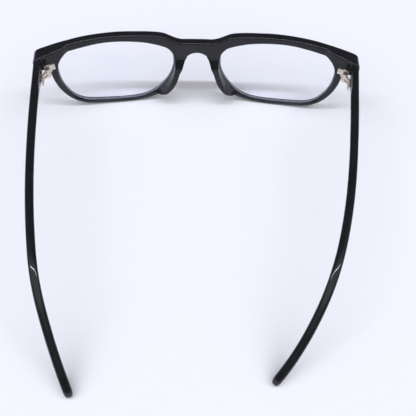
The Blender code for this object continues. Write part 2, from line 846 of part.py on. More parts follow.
def build_wire(side, drop, pivot):
    """Core wire inside a temple."""
    frames = temple_frames(side, drop)
    rings = wire_rings(frames, WIRE_RADIUS, WIRE_LENGTH)
    travel = frames[0][2]
    rings[0] = slide_to_butt(side, rings[0], travel, BUTT_GAP + 0.3)
    last = frames[len(rings) - 1][2]
    rings[-1] = [p - last * 0.3 for p in rings[-1]]
    return make("core_wire_" + side, Shell().loft(rings), "core_metal", pivot)


class Hinge:
    """Placement of one hinge: pivot, knuckle levels and the two leaf frames."""

    def __init__(self, side):
        self.side = side
        self.sign = side_sign(side)
        start = temple_start(side)
        travel, inward, _ = temple_axes(side, 0.0, 0.0)
        x = abs(start.x) - TEMPLE_THICKNESS / 2 - PIVOT_INBOARD
        z = bend(BLOCK_REF, BLOCK_BOTTOM, BLOCK_DEPTH).z + HINGE_RISE
        self.pivot = Vector((self.sign * x, block_face(x, z) - PIVOT_BEHIND, z))
        self.travel = travel
        self.outward = -inward
        reach = (start - self.pivot).dot(self.outward)
        self.inner_face = reach - TEMPLE_THICKNESS / 2
        along = Vector((self.sign, -FACE_SLOPE / math.cos(TILT), 0.0)).normalized()
        up = Vector((0.0, math.sin(TILT), math.cos(TILT)))
        self.face_up = (up - along * up.dot(along)).normalized()
        self.face_along = along
        back = along.cross(self.face_up)
        self.face_back = -back if back.y > 0 else back
        level = z + FRONT_PLATE_RISE
        self.plate = Vector((self.sign * x, block_face(x, level), level))

    def level(self, index):
        """Lower and upper heights of one of the five knuckles."""
        pitch = KNUCKLE_HEIGHT + KNUCKLE_GAP
        low = self.pivot.z + (index - 2.5) * pitch + KNUCKLE_GAP / 2
        return low, low + KNUCKLE_HEIGHT

    def barrel(self):
        """Plan circle of the knuckles."""
        return circle(BARREL_RADIUS, 20, (self.pivot.x, self.pivot.y))

    def bore(self, radius):
        """Upright cutter through all knuckles."""
        centre = (self.pivot.x, self.pivot.y)
        height = 4 * KNUCKLE_HEIGHT
        outline = circle(radius, 20, centre)
        return prism(outline, self.pivot.z - height, self.pivot.z + height)

    def face_frame(self, lift, shift=0.0, rise=0.0):
        """Matrix on the back face of the endpiece block."""
        origin = self.plate + self.face_back * lift
        origin = origin + self.face_along * shift + self.face_up * rise
        return basis(origin, self.face_along, self.face_up, self.face_back)

    def temple_frame(self, along, lift):
        """Matrix on the inner face of the temple, local Z pointing off the face."""
        origin = self.pivot + self.travel * along + self.outward * (self.inner_face - lift)
        return basis(origin, self.travel, Vector((0, 0, 1)), -self.outward)

    def front_rivets(self):
        """Places of the two rivets of the front leaf."""
        shift = FRONT_PLATE[0] / 2 - RIVET_HEAD_RADIUS - 0.12
        rise = (FRONT_PLATE[1] - FRONT_FLANGE) / 2
        return [(shift - FRONT_PLATE_SHIFT, rise), (-shift - FRONT_PLATE_SHIFT, rise)]

    def temple_rivets(self):
        """Distances of the two temple rivets behind the pivot."""
        return [TEMPLE_PLATE_START + along for along in TEMPLE_RIVETS]


def box_outline(width, height):
    """Rectangle round the origin."""
    w, h = width / 2, height / 2
    return [(-w, -h), (w, -h), (w, h), (-w, h)]


def flange_outline(width, height):
    """T-shaped plate: a wide flange, set inboard, over a narrow stem."""
    stem, h = FRONT_STEM / 2, height / 2
    step = h - FRONT_FLANGE
    left = -width / 2 - FRONT_PLATE_SHIFT
    right = width / 2 - FRONT_PLATE_SHIFT
    lower = [(-stem, step), (-stem, -h), (stem, -h), (stem, step)]
    return lower + [(right, step), (right, h), (left, h), (left, step)]


def build_front_leaf(hinge):
    """Plate on the endpiece block with three knuckles."""
    width, height, thick = FRONT_PLATE
    name = "hinge_front_leaf_" + hinge.side
    place = hinge.face_frame(BOND_GAP)
    plate = prism(flange_outline(width, height), 0.0, thick, place)
    leaf = make(name, plate, "hinge_metal")
    for index in (0, 2, 4):
        low, high = hinge.level(index)
        root = []
        for x in (hinge.pivot.x - KNUCKLE_ROOT, hinge.pivot.x + KNUCKLE_ROOT):
            depth = BOND_GAP + 0.6 * thick
            root.append((x, block_face(abs(x), (low + high) / 2) - depth))
        knuckle = make("knuckle", prism(hull(hinge.barrel() + root), low, high), "hinge_metal")
        carve(leaf, knuckle, "UNION")
    carve(leaf, make("tool", hinge.bore(SCREW_RADIUS + RUNNING_GAP), "hinge_metal"))
    for shift, rise in hinge.front_rivets():
        hole = circle(RIVET_RADIUS + BOND_GAP, 12)
        tool = prism(hole, *HOLE_REACH, hinge.face_frame(0.0, shift, rise))
        carve(leaf, make("tool", tool, "hinge_metal"))
    return leaf


def build_temple_leaf(hinge):
    """Plate on the temple with two knuckles."""
    length, height, thick = TEMPLE_PLATE
    name = "hinge_temple_leaf_" + hinge.side
    middle = TEMPLE_PLATE_START + length / 2
    place = hinge.temple_frame(middle, BOND_GAP)
    plate = prism(box_outline(length, height), 0.0, thick, place)
    leaf = make(name, plate, "hinge_metal", hinge.pivot)
    for index in (1, 3):
        low, high = hinge.level(index)
        root = []
        for along in (TEMPLE_PLATE_START + 0.15, TEMPLE_PLATE_START + 1.6):
            frame = hinge.temple_frame(along, BOND_GAP + 0.3 * thick)
            root.append(frame.translation[:2])
        outline = hull(hinge.barrel() + root)
        carve(leaf, make("knuckle", prism(outline, low, high), "hinge_metal"), "UNION")
    carve(leaf, make("tool", hinge.bore(SCREW_RADIUS + RUNNING_GAP), "hinge_metal"))
    for along in hinge.temple_rivets():
        hole = circle(RIVET_RADIUS + BOND_GAP, 12)
        tool = prism(hole, *HOLE_REACH, hinge.temple_frame(along, 0.0))
        carve(leaf, make("tool", tool, "hinge_metal"))
    return leaf


def build_screw(hinge):
    """Slotted hinge screw."""
    low = hinge.level(0)[0] - hinge.pivot.z
    high = hinge.level(4)[1] - hinge.pivot.z + KNUCKLE_GAP
    head = high + SCREW_HEAD_HEIGHT
    profile = (
        (SCREW_RADIUS - 0.15, low), (SCREW_RADIUS, low + 0.15), (SCREW_RADIUS, high),
        (SCREW_HEAD_RADIUS, high), (SCREW_HEAD_RADIUS, head - 0.12), (SCREW_HEAD_RADIUS - 0.12, head),
    )
    place = Matrix.Translation(hinge.pivot)
    screw = make("hinge_screw_" + hinge.side, turned(profile, place, 20), "screw_metal")
    centre = Matrix.Translation(hinge.pivot) @ Matrix.Rotation(math.radians(35), 4, "Z")
    slot = prism(box_outline(3.0, 0.3), head - 0.22, head + 1.0, centre)
    carve(screw, make("tool", slot, "screw_metal"))
    return screw


def rivet_profile(plate, depth):
    """Half outline of a rivet from its blind end to its low domed head."""
    under = BOND_GAP + plate + BOND_GAP
    top = under + RIVET_HEAD_HEIGHT
    return (
        (RIVET_RADIUS - 0.1, -depth), (RIVET_RADIUS, 0.1 - depth), (RIVET_RADIUS, under),
        (RIVET_HEAD_RADIUS, under), (RIVET_HEAD_RADIUS, under + 0.08),
        (0.72 * RIVET_HEAD_RADIUS, top - 0.05), (0.3 * RIVET_HEAD_RADIUS, top),
    )


def build_rivets(hinge, front, temple):
    """Four rivets of one hinge and the blind holes they sit in."""
    for number, (shift, rise) in enumerate(hinge.front_rivets(), 1):
        place = hinge.face_frame(0.0, shift, rise)
        hole = prism(circle(RIVET_RADIUS + BOND_GAP, 12), -FRONT_RIVET_DEPTH - 0.2, 1.0, place)
        carve(front, make("tool", hole, "acetate"))
        profile = rivet_profile(FRONT_PLATE[2], FRONT_RIVET_DEPTH)
        make("rivet_front_{}_{}".format(hinge.side, number), turned(profile, place, 12), "hinge_metal")
    for number, along in enumerate(hinge.temple_rivets(), 1):
        place = hinge.temple_frame(along, 0.0)
        hole = prism(circle(RIVET_RADIUS + BOND_GAP, 12), -TEMPLE_RIVET_DEPTH - 0.2, 1.0, place)
        carve(temple, make("tool", hole, "acetate"))
        profile = rivet_profile(TEMPLE_PLATE[2], TEMPLE_RIVET_DEPTH)
        name = "rivet_temple_{}_{}".format(hinge.side, number)
        make(name, turned(profile, place, 12), "hinge_metal", hinge.pivot)


def settle():
    """Carry the whole frame so the origin is the bottom centre of its box."""
    low = Vector((1e9, 1e9, 1e9))
    high = -low
    for item in bpy.context.scene.objects:
        for vertex in item.data.vertices:
            place = item.location + vertex.co
            low = Vector(map(min, low, place))
            high = Vector(map(max, high, place))
    shift = Vector(((low.x + high.x) / 2, (low.y + high.y) / 2, low.z))
    for item in bpy.context.scene.objects:
        item.location -= shift


def main():
    """Build every piece of the frame."""
    for item in list(bpy.data.objects):
        bpy.data.objects.remove(item)
    front = build_front()
    rest_cut(front, REST_FLAT)
    for side in ("left", "right"):
        build_pad(side)
        build_lens(side)
        hinge = Hinge(side)
        drop = temple_drop(side)
        temple = build_temple(side, drop, hinge.pivot)
        rest_cut(temple, REST_FLAT)
        build_wire(side, drop, hinge.pivot)
        build_front_leaf(hinge)
        build_temple_leaf(hinge)
        build_screw(hinge)
        build_rivets(hinge, front, temple)
    settle()


main()
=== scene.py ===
"""Studio scene of a glossy black acetate eyeglasses frame with clear lenses.

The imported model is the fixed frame. The acetate pieces and the lenses are rebuilt here from
the same driving dimensions with finer curves and rounded edges, and the metal pieces keep
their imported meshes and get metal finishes. Sizes are millimetres until a mesh is written.
"""
import json
import logging
import math
from dataclasses import dataclass, field
from enum import Enum
from functools import cached_property
from typing import NamedTuple, Sequence

import bmesh
import bpy
from mathutils import Matrix, Vector
from mathutils.geometry import delaunay_2d_cdt


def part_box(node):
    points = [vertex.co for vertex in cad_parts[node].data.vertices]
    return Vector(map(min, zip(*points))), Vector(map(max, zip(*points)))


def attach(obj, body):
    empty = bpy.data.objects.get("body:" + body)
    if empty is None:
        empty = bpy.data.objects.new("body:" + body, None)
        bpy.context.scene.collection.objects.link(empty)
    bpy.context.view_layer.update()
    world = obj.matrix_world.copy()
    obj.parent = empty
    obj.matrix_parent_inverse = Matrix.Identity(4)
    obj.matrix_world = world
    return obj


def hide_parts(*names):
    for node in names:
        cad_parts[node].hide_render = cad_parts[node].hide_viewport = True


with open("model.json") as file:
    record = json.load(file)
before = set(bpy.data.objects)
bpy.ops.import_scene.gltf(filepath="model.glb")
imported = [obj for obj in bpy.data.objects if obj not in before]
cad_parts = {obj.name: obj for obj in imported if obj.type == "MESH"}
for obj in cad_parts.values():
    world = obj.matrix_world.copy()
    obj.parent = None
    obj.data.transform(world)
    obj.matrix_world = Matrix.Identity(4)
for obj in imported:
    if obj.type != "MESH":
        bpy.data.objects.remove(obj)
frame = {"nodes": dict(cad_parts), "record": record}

LOG = logging.getLogger("eyeglasses")
MM = 0.001
OUTLINE_STEP = 0.7  # Longest distance between points of an outline.
MITRE_LIMIT = 0.55  # An offset stretches a corner by no more than one over this.
NOISE_SPAN = (0.3, 0.7)  # Most values of a noise lie between these.
FACE_TOLERANCE = 1e-6
FILL_HULL = 0  # Triangulate everything inside the outermost points.
Loop = list[Vector]


class Side(Enum):
    """The two sides of the frame, left being towards -X."""

    LEFT = "left"
    RIGHT = "right"

    @property
    def sign(self) -> float:
        """Direction of the side along X."""
        return -1.0 if self is Side.LEFT else 1.0


class Body(Enum):
    """The bodies that pieces ride on."""

    FRONT = "front_assembly"
    LEFT_TEMPLE = "left_temple"
    RIGHT_TEMPLE = "right_temple"

    @staticmethod
    def temple(side: Side) -> "Body":
        """Body of the temple on one side."""
        return Body.LEFT_TEMPLE if side is Side.LEFT else Body.RIGHT_TEMPLE


class Slot(Enum):
    """Material slots of the record."""

    ACETATE = "acetate"
    LENS = "clear_lens"
    HINGE = "hinge_metal"
    SCREW = "screw_metal"
    CORE = "core_metal"


def smoothstep(t: float) -> float:
    """Ease from 0 to 1 with level ends."""
    t = min(1.0, max(0.0, t))
    return t * t * (3 - 2 * t)


def spline(points: Sequence[Sequence[float]], closed: bool, step: float) -> Loop:
    """Sample a Catmull-Rom curve.

    Args:
        points: Control points, all on the curve.
        closed: Whether the curve returns to its first point.
        step: Longest distance between samples.

    Returns:
        Points along the curve.
    """
    count = len(points)
    out = []
    for i in range(count if closed else count - 1):
        p1 = Vector(points[i])
        p2 = Vector(points[(i + 1) % count])
        p0 = Vector(points[i - 1]) if closed or i else p1 * 2 - p2
        p3 = Vector(points[(i + 2) % count]) if closed or i + 2 < count else p2 * 2 - p1
        pieces = max(2, math.ceil((p2 - p1).length / step))
        for k in range(pieces):
            t = k / pieces
            a = p1 * 2 + (p2 - p0) * t
            b = (p0 * 2 - p1 * 5 + p2 * 4 - p3) * t * t
            c = (p1 * 3 - p0 - p2 * 3 + p3) * t ** 3
            out.append((a + b + c) / 2)
    if not closed:
        out.append(Vector(points[-1]))
    return out


def offset_loop(loop: Loop, distance: float) -> Loop:
    """Mitred offset of a closed plan loop.

    Args:
        loop: Points in order.
        distance: Distance to the left of the direction of travel.

    Returns:
        The moved points, one for each given point.
    """
    out = []
    for i, p in enumerate(loop):
        before = (p - loop[i - 1]).normalized()
        after = (loop[(i + 1) % len(loop)] - p).normalized()
        mean = (before + after).normalized()
        stretch = max(MITRE_LIMIT, mean.dot(before))
        out.append(p + Vector((-mean[1], mean[0])) * (distance / stretch))
    return out


def inside(point: Sequence[float], loop: Loop) -> bool:
    """Even-odd test of a plan point against a closed loop.

    Args:
        point: Plan point to test.
        loop: Points in order.

    Returns:
        Whether the point is inside.
    """
    odd = False
    for i, a in enumerate(loop):
        b = loop[i - 1]
        if (a[1] > point[1]) != (b[1] > point[1]):
            odd ^= point[0] < (b[0] - a[0]) * (point[1] - a[1]) / (b[1] - a[1]) + a[0]
    return odd


def crossing(loop: Loop, v: float, low: float, high: float) -> float:
    """Find where a loop crosses a height.

    Args:
        loop: Points in order.
        v: Height of the crossing.
        low: Lowest u that counts.
        high: Highest u that counts.

    Returns:
        The u of the crossing.

    Raises:
        ValueError: If the loop is not crossed between the limits.
    """
    for p, q in zip(loop, loop[1:] + loop[:1]):
        if (p[1] - v) * (q[1] - v) <= 0 and p[1] != q[1]:
            u = p[0] + (q[0] - p[0]) * (v - p[1]) / (q[1] - p[1])
            if low <= u <= high:
                return u
    raise ValueError("the outline is not crossed at this height")


def arc(radius: float, steps: int) -> list[tuple[float, float]]:
    """Quarter round from a face onto a wall, as (depth, inset) pairs.

    Args:
        radius: Radius of the edge.
        steps: Number of facets.

    Returns:
        Pairs from (0, radius) on the face to (radius, 0) on the wall.
    """
    out = []
    for k in range(steps + 1):
        a = math.pi / 2 * k / steps
        out.append((radius * (1 - math.cos(a)), radius * (1 - math.sin(a))))
    return out


class Sketch:
    """Points and faces of one mesh, gathered in millimetres."""

    def __init__(self) -> None:
        """Start empty."""
        self.points: list[Vector] = []
        self.faces: list[tuple[int, ...]] = []
        self.slots: list[int] = []

    def add(self, points: Sequence[Vector]) -> list[int]:
        """Append points.

        Args:
            points: Points in millimetres.

        Returns:
            Their indices.
        """
        start = len(self.points)
        self.points += [Vector(p) for p in points]
        return list(range(start, len(self.points)))

    def face(self, corners: Sequence[int], slot: int = 0) -> None:
        """Append one face with a material index."""
        self.faces.append(tuple(corners))
        self.slots.append(slot)

    def bridge(self, first: Sequence[int], second: Sequence[int], slot: int = 0) -> None:
        """Join two rings of equal length by quads.

        Args:
            first: Point indices of one ring.
            second: Point indices of the other ring.
            slot: Material index of the quads.
        """
        for i in range(len(first)):
            j = (i + 1) % len(first)
            self.face((first[i], first[j], second[j], second[i]), slot)

    def loft(self, rings: Sequence[Sequence[Vector]]) -> "Sketch":
        """Skin rings and close each end with one face.

        Args:
            rings: Rings of equal length, in order.

        Returns:
            This sketch.
        """
        made = [self.add(ring) for ring in rings]
        for first, second in zip(made, made[1:]):
            self.bridge(first, second)
        self.face(made[0])
        self.face(made[-1])
        return self

    def build(
        self, name: str, materials: Sequence[bpy.types.Material], sharp: float,
    ) -> bpy.types.Object:
        """Write the mesh, with nothing below the floor, and shade it.

        Args:
            name: Object name.
            materials: Materials in slot order.
            sharp: Angle in degrees from which an edge is shaded as a crease.

        Returns:
            The linked object.
        """
        mesh = bpy.data.meshes.new(name)
        work = bmesh.new()
        verts = [work.verts.new((p.x * MM, p.y * MM, max(0.0, p.z * MM))) for p in self.points]
        for corners, slot in zip(self.faces, self.slots):
            made = work.faces.new([verts[i] for i in corners])
            made.smooth = True
            made.material_index = slot
        bmesh.ops.recalc_face_normals(work, faces=work.faces)
        limit = math.radians(sharp)
        for edge in work.edges:
            edge.smooth = len(edge.link_faces) == 2 and edge.calc_face_angle(0.0) < limit
        work.to_mesh(mesh)
        work.free()
        for material in materials:
            mesh.materials.append(material)
        made = bpy.data.objects.new(name, mesh)
        bpy.context.scene.collection.objects.link(made)
        even = made.modifiers.new("even_normals", "WEIGHTED_NORMAL")
        even.keep_sharp = True
        return made


class Graph:
    """Adds and wires the nodes of one material."""

    def __init__(self, name: str) -> None:
        """Make an empty material with an output.

        Args:
            name: Material name.
        """
        self.material = bpy.data.materials.new(name)
        self.material.use_nodes = True
        self.tree = self.material.node_tree
        self.tree.nodes.clear()
        self.output = self.node("ShaderNodeOutputMaterial")
        self.place = self.node("ShaderNodeTexCoord").outputs["Object"]

    def node(self, kind: str) -> bpy.types.Node:
        """Add a node."""
        return self.tree.nodes.new(kind)

    def link(self, source: bpy.types.NodeSocket, target: bpy.types.NodeSocket) -> None:
        """Wire two sockets."""
        self.tree.links.new(source, target)

    def principled(self, values: dict[str, float]) -> bpy.types.Node:
        """Add a Principled shader.

        Args:
            values: Fixed values by socket name, set on the shader's own sockets.

        Returns:
            The shader node.
        """
        shader = self.node("ShaderNodeBsdfPrincipled")
        for key, value in values.items():
            shader.inputs[key].default_value = value
        return shader

    def noise(
        self, scale: float, detail: float, stretch: Sequence[float] = (1, 1, 1),
    ) -> bpy.types.NodeSocket:
        """Noise in object space.

        Args:
            scale: Features per metre.
            detail: Octaves of the noise.
            stretch: Scale of each axis before the noise.

        Returns:
            The noise value.
        """
        mapping = self.node("ShaderNodeMapping")
        mapping.inputs["Scale"].default_value = stretch
        self.link(self.place, mapping.inputs["Vector"])
        texture = self.node("ShaderNodeTexNoise")
        texture.inputs["Scale"].default_value = scale
        texture.inputs["Detail"].default_value = detail
        self.link(mapping.outputs["Vector"], texture.inputs["Vector"])
        return texture.outputs["Fac"]

    def spread(self, source: bpy.types.NodeSocket, low: float, high: float) -> bpy.types.NodeSocket:
        """Carry the middle of a noise to a range of values.

        Args:
            source: The noise.
            low: Value where the noise is low.
            high: Value where it is high.

        Returns:
            The remapped value.
        """
        remap = self.node("ShaderNodeMapRange")
        remap.inputs["From Min"].default_value, remap.inputs["From Max"].default_value = NOISE_SPAN
        remap.inputs["To Min"].default_value = low
        remap.inputs["To Max"].default_value = high
        self.link(source, remap.inputs["Value"])
        return remap.outputs["Result"]

    def blend(
        self, source: bpy.types.NodeSocket, first: Sequence[float], second: Sequence[float],
    ) -> bpy.types.NodeSocket:
        """Colour between two colours by a noise.

        Args:
            source: The noise.
            first: Colour where the noise is low.
            second: Colour where it is high.

        Returns:
            The colour.
        """
        ramp = self.node("ShaderNodeValToRGB")
        for stop, place, colour in zip(ramp.color_ramp.elements, NOISE_SPAN, (first, second)):
            stop.position = place
            stop.color = (*colour, 1.0)
        self.link(source, ramp.inputs["Fac"])
        return ramp.outputs["Color"]

    def bump(
        self, source: bpy.types.NodeSocket, height: float, strength: float,
    ) -> bpy.types.NodeSocket:
        """Normal of a relief.

        Args:
            source: Value that gives the relief.
            height: Height of the relief in metres.
            strength: Share of the relief that shows.

        Returns:
            The normal.
        """
        made = self.node("ShaderNodeBump")
        made.inputs["Distance"].default_value = height
        made.inputs["Strength"].default_value = strength
        self.link(source, made.inputs["Height"])
        return made.outputs["Normal"]

    def finish(self, shader: bpy.types.NodeSocket) -> bpy.types.Material:
        """Send a shader to the output."""
        self.link(shader, self.output.inputs["Surface"])
        return self.material


@dataclass(frozen=True)
class AcetateFinish:
    """Polished black cellulose acetate with a faint tumbling wave and fine hazing.

    Args:
        deep: Colour in the deep parts of the cloud.
        light: Colour in its light parts.
        polish: Lowest and highest roughness.
        ior: Index of refraction that sets the gloss.
        cloud: Scale and detail of the slow noise.
        haze: Scale and detail of the fine noise.
        wave: Height in metres and strength of the wave.
    """

    deep: tuple[float, float, float] = (0.007, 0.007, 0.0095)
    light: tuple[float, float, float] = (0.011, 0.011, 0.0155)
    polish: tuple[float, float] = (0.035, 0.085)
    ior: float = 1.4
    cloud: tuple[float, float] = (180.0, 3.0)
    haze: tuple[float, float] = (1400.0, 5.0)
    wave: tuple[float, float] = (0.000012, 0.5)

    def build(self) -> bpy.types.Material:
        """Make the material.

        Returns:
            The material.
        """
        graph = Graph("acetate_black_polished")
        shader = graph.principled({"IOR": self.ior})
        cloud = graph.noise(*self.cloud)
        haze = graph.noise(*self.haze)
        graph.link(graph.blend(cloud, self.deep, self.light), shader.inputs["Base Color"])
        graph.link(graph.spread(haze, *self.polish), shader.inputs["Roughness"])
        graph.link(graph.bump(cloud, *self.wave), shader.inputs["Normal"])
        return graph.finish(shader.outputs["BSDF"])


@dataclass(frozen=True)
class LensFinish:
    """Clear coated lens that lets lamps through, with faint wiping marks.

    Args:
        first: Tint of the glass between the marks.
        second: Tint in the marks.
        shade: Colour of the light that passes the lens.
        smear: Lowest and highest roughness.
        ior: Index of refraction, lowered by the coating.
        wipe: Scale and detail of the marks.
        wipe_stretch: Stretch of the marks along each axis.
    """

    first: tuple[float, float, float] = (0.965, 0.972, 0.995)
    second: tuple[float, float, float] = (0.985, 0.988, 1.0)
    shade: tuple[float, float, float] = (0.97, 0.96, 0.99)
    smear: tuple[float, float] = (0.0, 0.012)
    ior: float = 1.22
    wipe: tuple[float, float] = (60.0, 4.0)
    wipe_stretch: tuple[float, float, float] = (1.0, 3.0, 1.0)

    def build(self) -> bpy.types.Material:
        """Make the material.

        Returns:
            The material.
        """
        graph = Graph("lens_clear_coated")
        shader = graph.principled({"IOR": self.ior, "Transmission Weight": 1.0})
        wipe = graph.noise(*self.wipe, self.wipe_stretch)
        tint = graph.blend(wipe, self.first, self.second)
        graph.link(tint, shader.inputs["Base Color"])
        graph.link(graph.spread(wipe, *self.smear), shader.inputs["Roughness"])
        clear = graph.node("ShaderNodeBsdfTransparent")
        clear.inputs["Color"].default_value = (*self.shade, 1.0)
        path = graph.node("ShaderNodeLightPath")
        mix = graph.node("ShaderNodeMixShader")
        graph.link(path.outputs["Is Shadow Ray"], mix.inputs[0])
        graph.link(shader.outputs["BSDF"], mix.inputs[1])
        graph.link(clear.outputs["BSDF"], mix.inputs[2])
        return graph.finish(mix.outputs["Shader"])


@dataclass(frozen=True)
class GroundEdgeFinish:
    """Ground bevel of a lens, matt and pale with fine wheel marks.

    Args:
        dark: Colour in the marks.
        pale: Colour between them.
        rough: Lowest and highest roughness.
        ior: Index of refraction.
        clear: Share of the light that passes.
        marks: Scale and detail of the marks.
        marks_stretch: Stretch of the marks along each axis.
        marks_relief: Height in metres and strength of the marks.
    """

    dark: tuple[float, float, float] = (0.14, 0.14, 0.19)
    pale: tuple[float, float, float] = (0.26, 0.26, 0.33)
    rough: tuple[float, float] = (0.35, 0.6)
    ior: float = 1.5
    clear: float = 0.35
    marks: tuple[float, float] = (2600.0, 4.0)
    marks_stretch: tuple[float, float, float] = (1.0, 4.0, 1.0)
    marks_relief: tuple[float, float] = (0.00002, 0.6)

    def build(self) -> bpy.types.Material:
        """Make the material.

        Returns:
            The material.
        """
        graph = Graph("lens_edge_ground")
        shader = graph.principled({"IOR": self.ior, "Transmission Weight": self.clear})
        marks = graph.noise(*self.marks, self.marks_stretch)
        graph.link(graph.blend(marks, self.dark, self.pale), shader.inputs["Base Color"])
        graph.link(graph.spread(marks, *self.rough), shader.inputs["Roughness"])
        graph.link(graph.bump(marks, *self.marks_relief), shader.inputs["Normal"])
        return graph.finish(shader.outputs["BSDF"])


@dataclass(frozen=True)
class MetalFinish:
    """Drawn or stamped metal with grain along one axis.

    Args:
        name: Material name.
        dark: Colour of the patina.
        pale: Colour of the clean metal.
        rough: Lowest and highest roughness.
        grain_stretch: Stretch of the grain along each axis.
        grain: Scale and detail of the grain.
        patina: Scale and detail of the patina.
        grain_relief: Height in metres and strength of the grain.
    """

    name: str
    dark: tuple[float, float, float]
    pale: tuple[float, float, float]
    rough: tuple[float, float]
    grain_stretch: tuple[float, float, float] = (1.0, 1.0, 8.0)
    grain: tuple[float, float] = (2400.0, 4.0)
    patina: tuple[float, float] = (700.0, 3.0)
    grain_relief: tuple[float, float] = (0.00001, 0.35)

    def build(self) -> bpy.types.Material:
        """Make the material.

        Returns:
            The material.
        """
        graph = Graph(self.name)
        shader = graph.principled({"Metallic": 1.0})
        grain = graph.noise(*self.grain, self.grain_stretch)
        patina = graph.noise(*self.patina)
        graph.link(graph.blend(patina, self.dark, self.pale), shader.inputs["Base Color"])
        graph.link(graph.spread(grain, *self.rough), shader.inputs["Roughness"])
        graph.link(graph.bump(grain, *self.grain_relief), shader.inputs["Normal"])
        return graph.finish(shader.outputs["BSDF"])


@dataclass(frozen=True)
class FloorFinish:
    """Plain pale sweep with the slightest paper tooth.

    Args:
        first: Colour at the low end of the tooth.
        second: Colour at its high end.
        roughness: Roughness of the sweep.
        specular: Level of its gloss.
        tooth: Scale and detail of the tooth.
    """

    first: tuple[float, float, float] = (0.895, 0.896, 0.945)
    second: tuple[float, float, float] = (0.902, 0.902, 0.952)
    roughness: float = 0.75
    specular: float = 0.1
    tooth: tuple[float, float] = (300.0, 3.0)

    def build(self) -> bpy.types.Material:
        """Make the material.

        Returns:
            The material.
        """
        graph = Graph("floor_paper")
        shader = graph.principled({
            "Roughness": self.roughness, "Specular IOR Level": self.specular,
        })
        tooth = graph.noise(*self.tooth)
        graph.link(graph.blend(tooth, self.first, self.second), shader.inputs["Base Color"])
        return graph.finish(shader.outputs["BSDF"])


HINGE_METAL = MetalFinish(
    "nickel_silver_satin", (0.66, 0.58, 0.50), (0.86, 0.79, 0.74), (0.4, 0.55),
)
SCREW_METAL = MetalFinish("screw_steel", (0.16, 0.15, 0.14), (0.34, 0.32, 0.30), (0.3, 0.5))
CORE_METAL = MetalFinish(
    "core_wire_nickel_silver", (0.5, 0.5, 0.48), (0.66, 0.66, 0.63), (0.25, 0.4), (1, 6, 1),
)


@dataclass
class Finishes:
    """Every material of the scene, made once."""

    acetate: bpy.types.Material = field(default_factory=AcetateFinish().build)
    lens: bpy.types.Material = field(default_factory=LensFinish().build)
    ground_edge: bpy.types.Material = field(default_factory=GroundEdgeFinish().build)
    hinge: bpy.types.Material = field(default_factory=HINGE_METAL.build)
    screw: bpy.types.Material = field(default_factory=SCREW_METAL.build)
    core: bpy.types.Material = field(default_factory=CORE_METAL.build)
    floor: bpy.types.Material = field(default_factory=FloorFinish().build)


@dataclass(frozen=True)
class FrontSizes:
    """Driving dimensions of the front and its pads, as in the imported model.

    Lengths are millimetres and angles are degrees. A point of lens_shape is a share of the
    opening's width and height, and its third number, where the lower edge of the rim follows
    it, is how much wider the rim is there than at the bottom. A point of upper_shape is a
    share of the rim's width and height. The points of bridge_shape are distances from the
    middle and rises over the bridge, those of arch_shape are distances from the rim towards
    the middle and drops below the arch, and those of corner_shape are distances in from the
    side and drops below the corner.
    """

    lens_width: float = 52.3
    lens_height: float = 37.4
    lens_spacing: float = 19.6
    groove_depth: float = 0.6
    groove_at: float = 1.55
    groove_half: float = 0.5
    rim_top: float = 2.85
    rim_bottom: float = 1.8
    rim_temporal: float = 2.8
    rim_nasal: float = 3.6
    depth: float = 3.6
    depth_low: float = 2.8
    bridge_dip: float = 5.45
    bridge_height: float = 5.6
    endpiece_reach: float = 5.5
    corner_drop: float = 4.0
    corner_shape: tuple[tuple[float, float], ...] = (
        (3.0, 0.0), (1.6, 0.45), (0.7, 1.0), (0.15, 1.8), (0.0, 2.6),
    )
    corner_nip: float = 0.3
    block_height: float = 8.0
    block_below_corner: float = 0.4
    block_ref_inset: float = 0.6
    block_lift: float = 2.2
    notch_at: float = 0.8
    notch_drop: float = 0.3
    block_depth: float = 6.1
    block_ramp: tuple[float, float] = (5.9, 3.4)
    block_face_angle: float = 21.3
    sag: float = 8.5
    face_form: float = 7.2
    wrap_ease: tuple[float, float] = (2.0, 1.5)
    endpiece_draft: float = 1.9
    pantoscopic: float = 7.74
    edge_round: float = 0.6
    back_bevel: float = 0.25
    opening_bevel: float = 0.2
    depth_rise: float = 0.6
    step_tolerance: float = 0.02
    bridge_shape: tuple[tuple[float, float], ...] = (
        (0.0, 0.0), (3.6, 0.0), (6.8, 0.0), (9.4, 0.8),
    )
    arch_shape: tuple[tuple[float, float], ...] = (
        (0.3, 8.0), (0.95, 5.4), (1.7, 3.2), (3.0, 1.5), (4.9, 0.35),
    )
    lens_shape: tuple[tuple[float, ...], ...] = (
        (0.511, 0.999), (0.361, 0.982), (0.225, 0.948), (0.083, 0.876), (0.035, 0.815),
        (0.008, 0.740), (0.0, 0.640), (0.008, 0.510, 1.5), (0.043, 0.370, 1.6),
        (0.095, 0.245, 1.4), (0.172, 0.118, 0.85), (0.262, 0.043, 0.15), (0.350, 0.011, 0.0),
        (0.450, 0.0, 0.0), (0.560, 0.004, 0.0), (0.700, 0.022, 0.0), (0.800, 0.050, 0.0),
        (0.875, 0.116, 0.05), (0.917, 0.188, 0.2), (0.953, 0.283, 0.4), (0.980, 0.388, 0.55),
        (0.997, 0.510, 0.8), (1.0, 0.640, 1.3), (0.985, 0.760), (0.953, 0.860),
        (0.913, 0.915), (0.857, 0.937), (0.745, 0.968), (0.634, 0.992),
    )
    upper_shape: tuple[tuple[float, float], ...] = (
        (0.095, 0.923), (0.130, 0.950), (0.178, 0.967), (0.254, 0.980), (0.341, 0.989),
        (0.437, 0.998), (0.520, 1.0), (0.629, 0.995), (0.735, 0.983), (0.838, 0.961),
        (0.941, 0.934),
    )


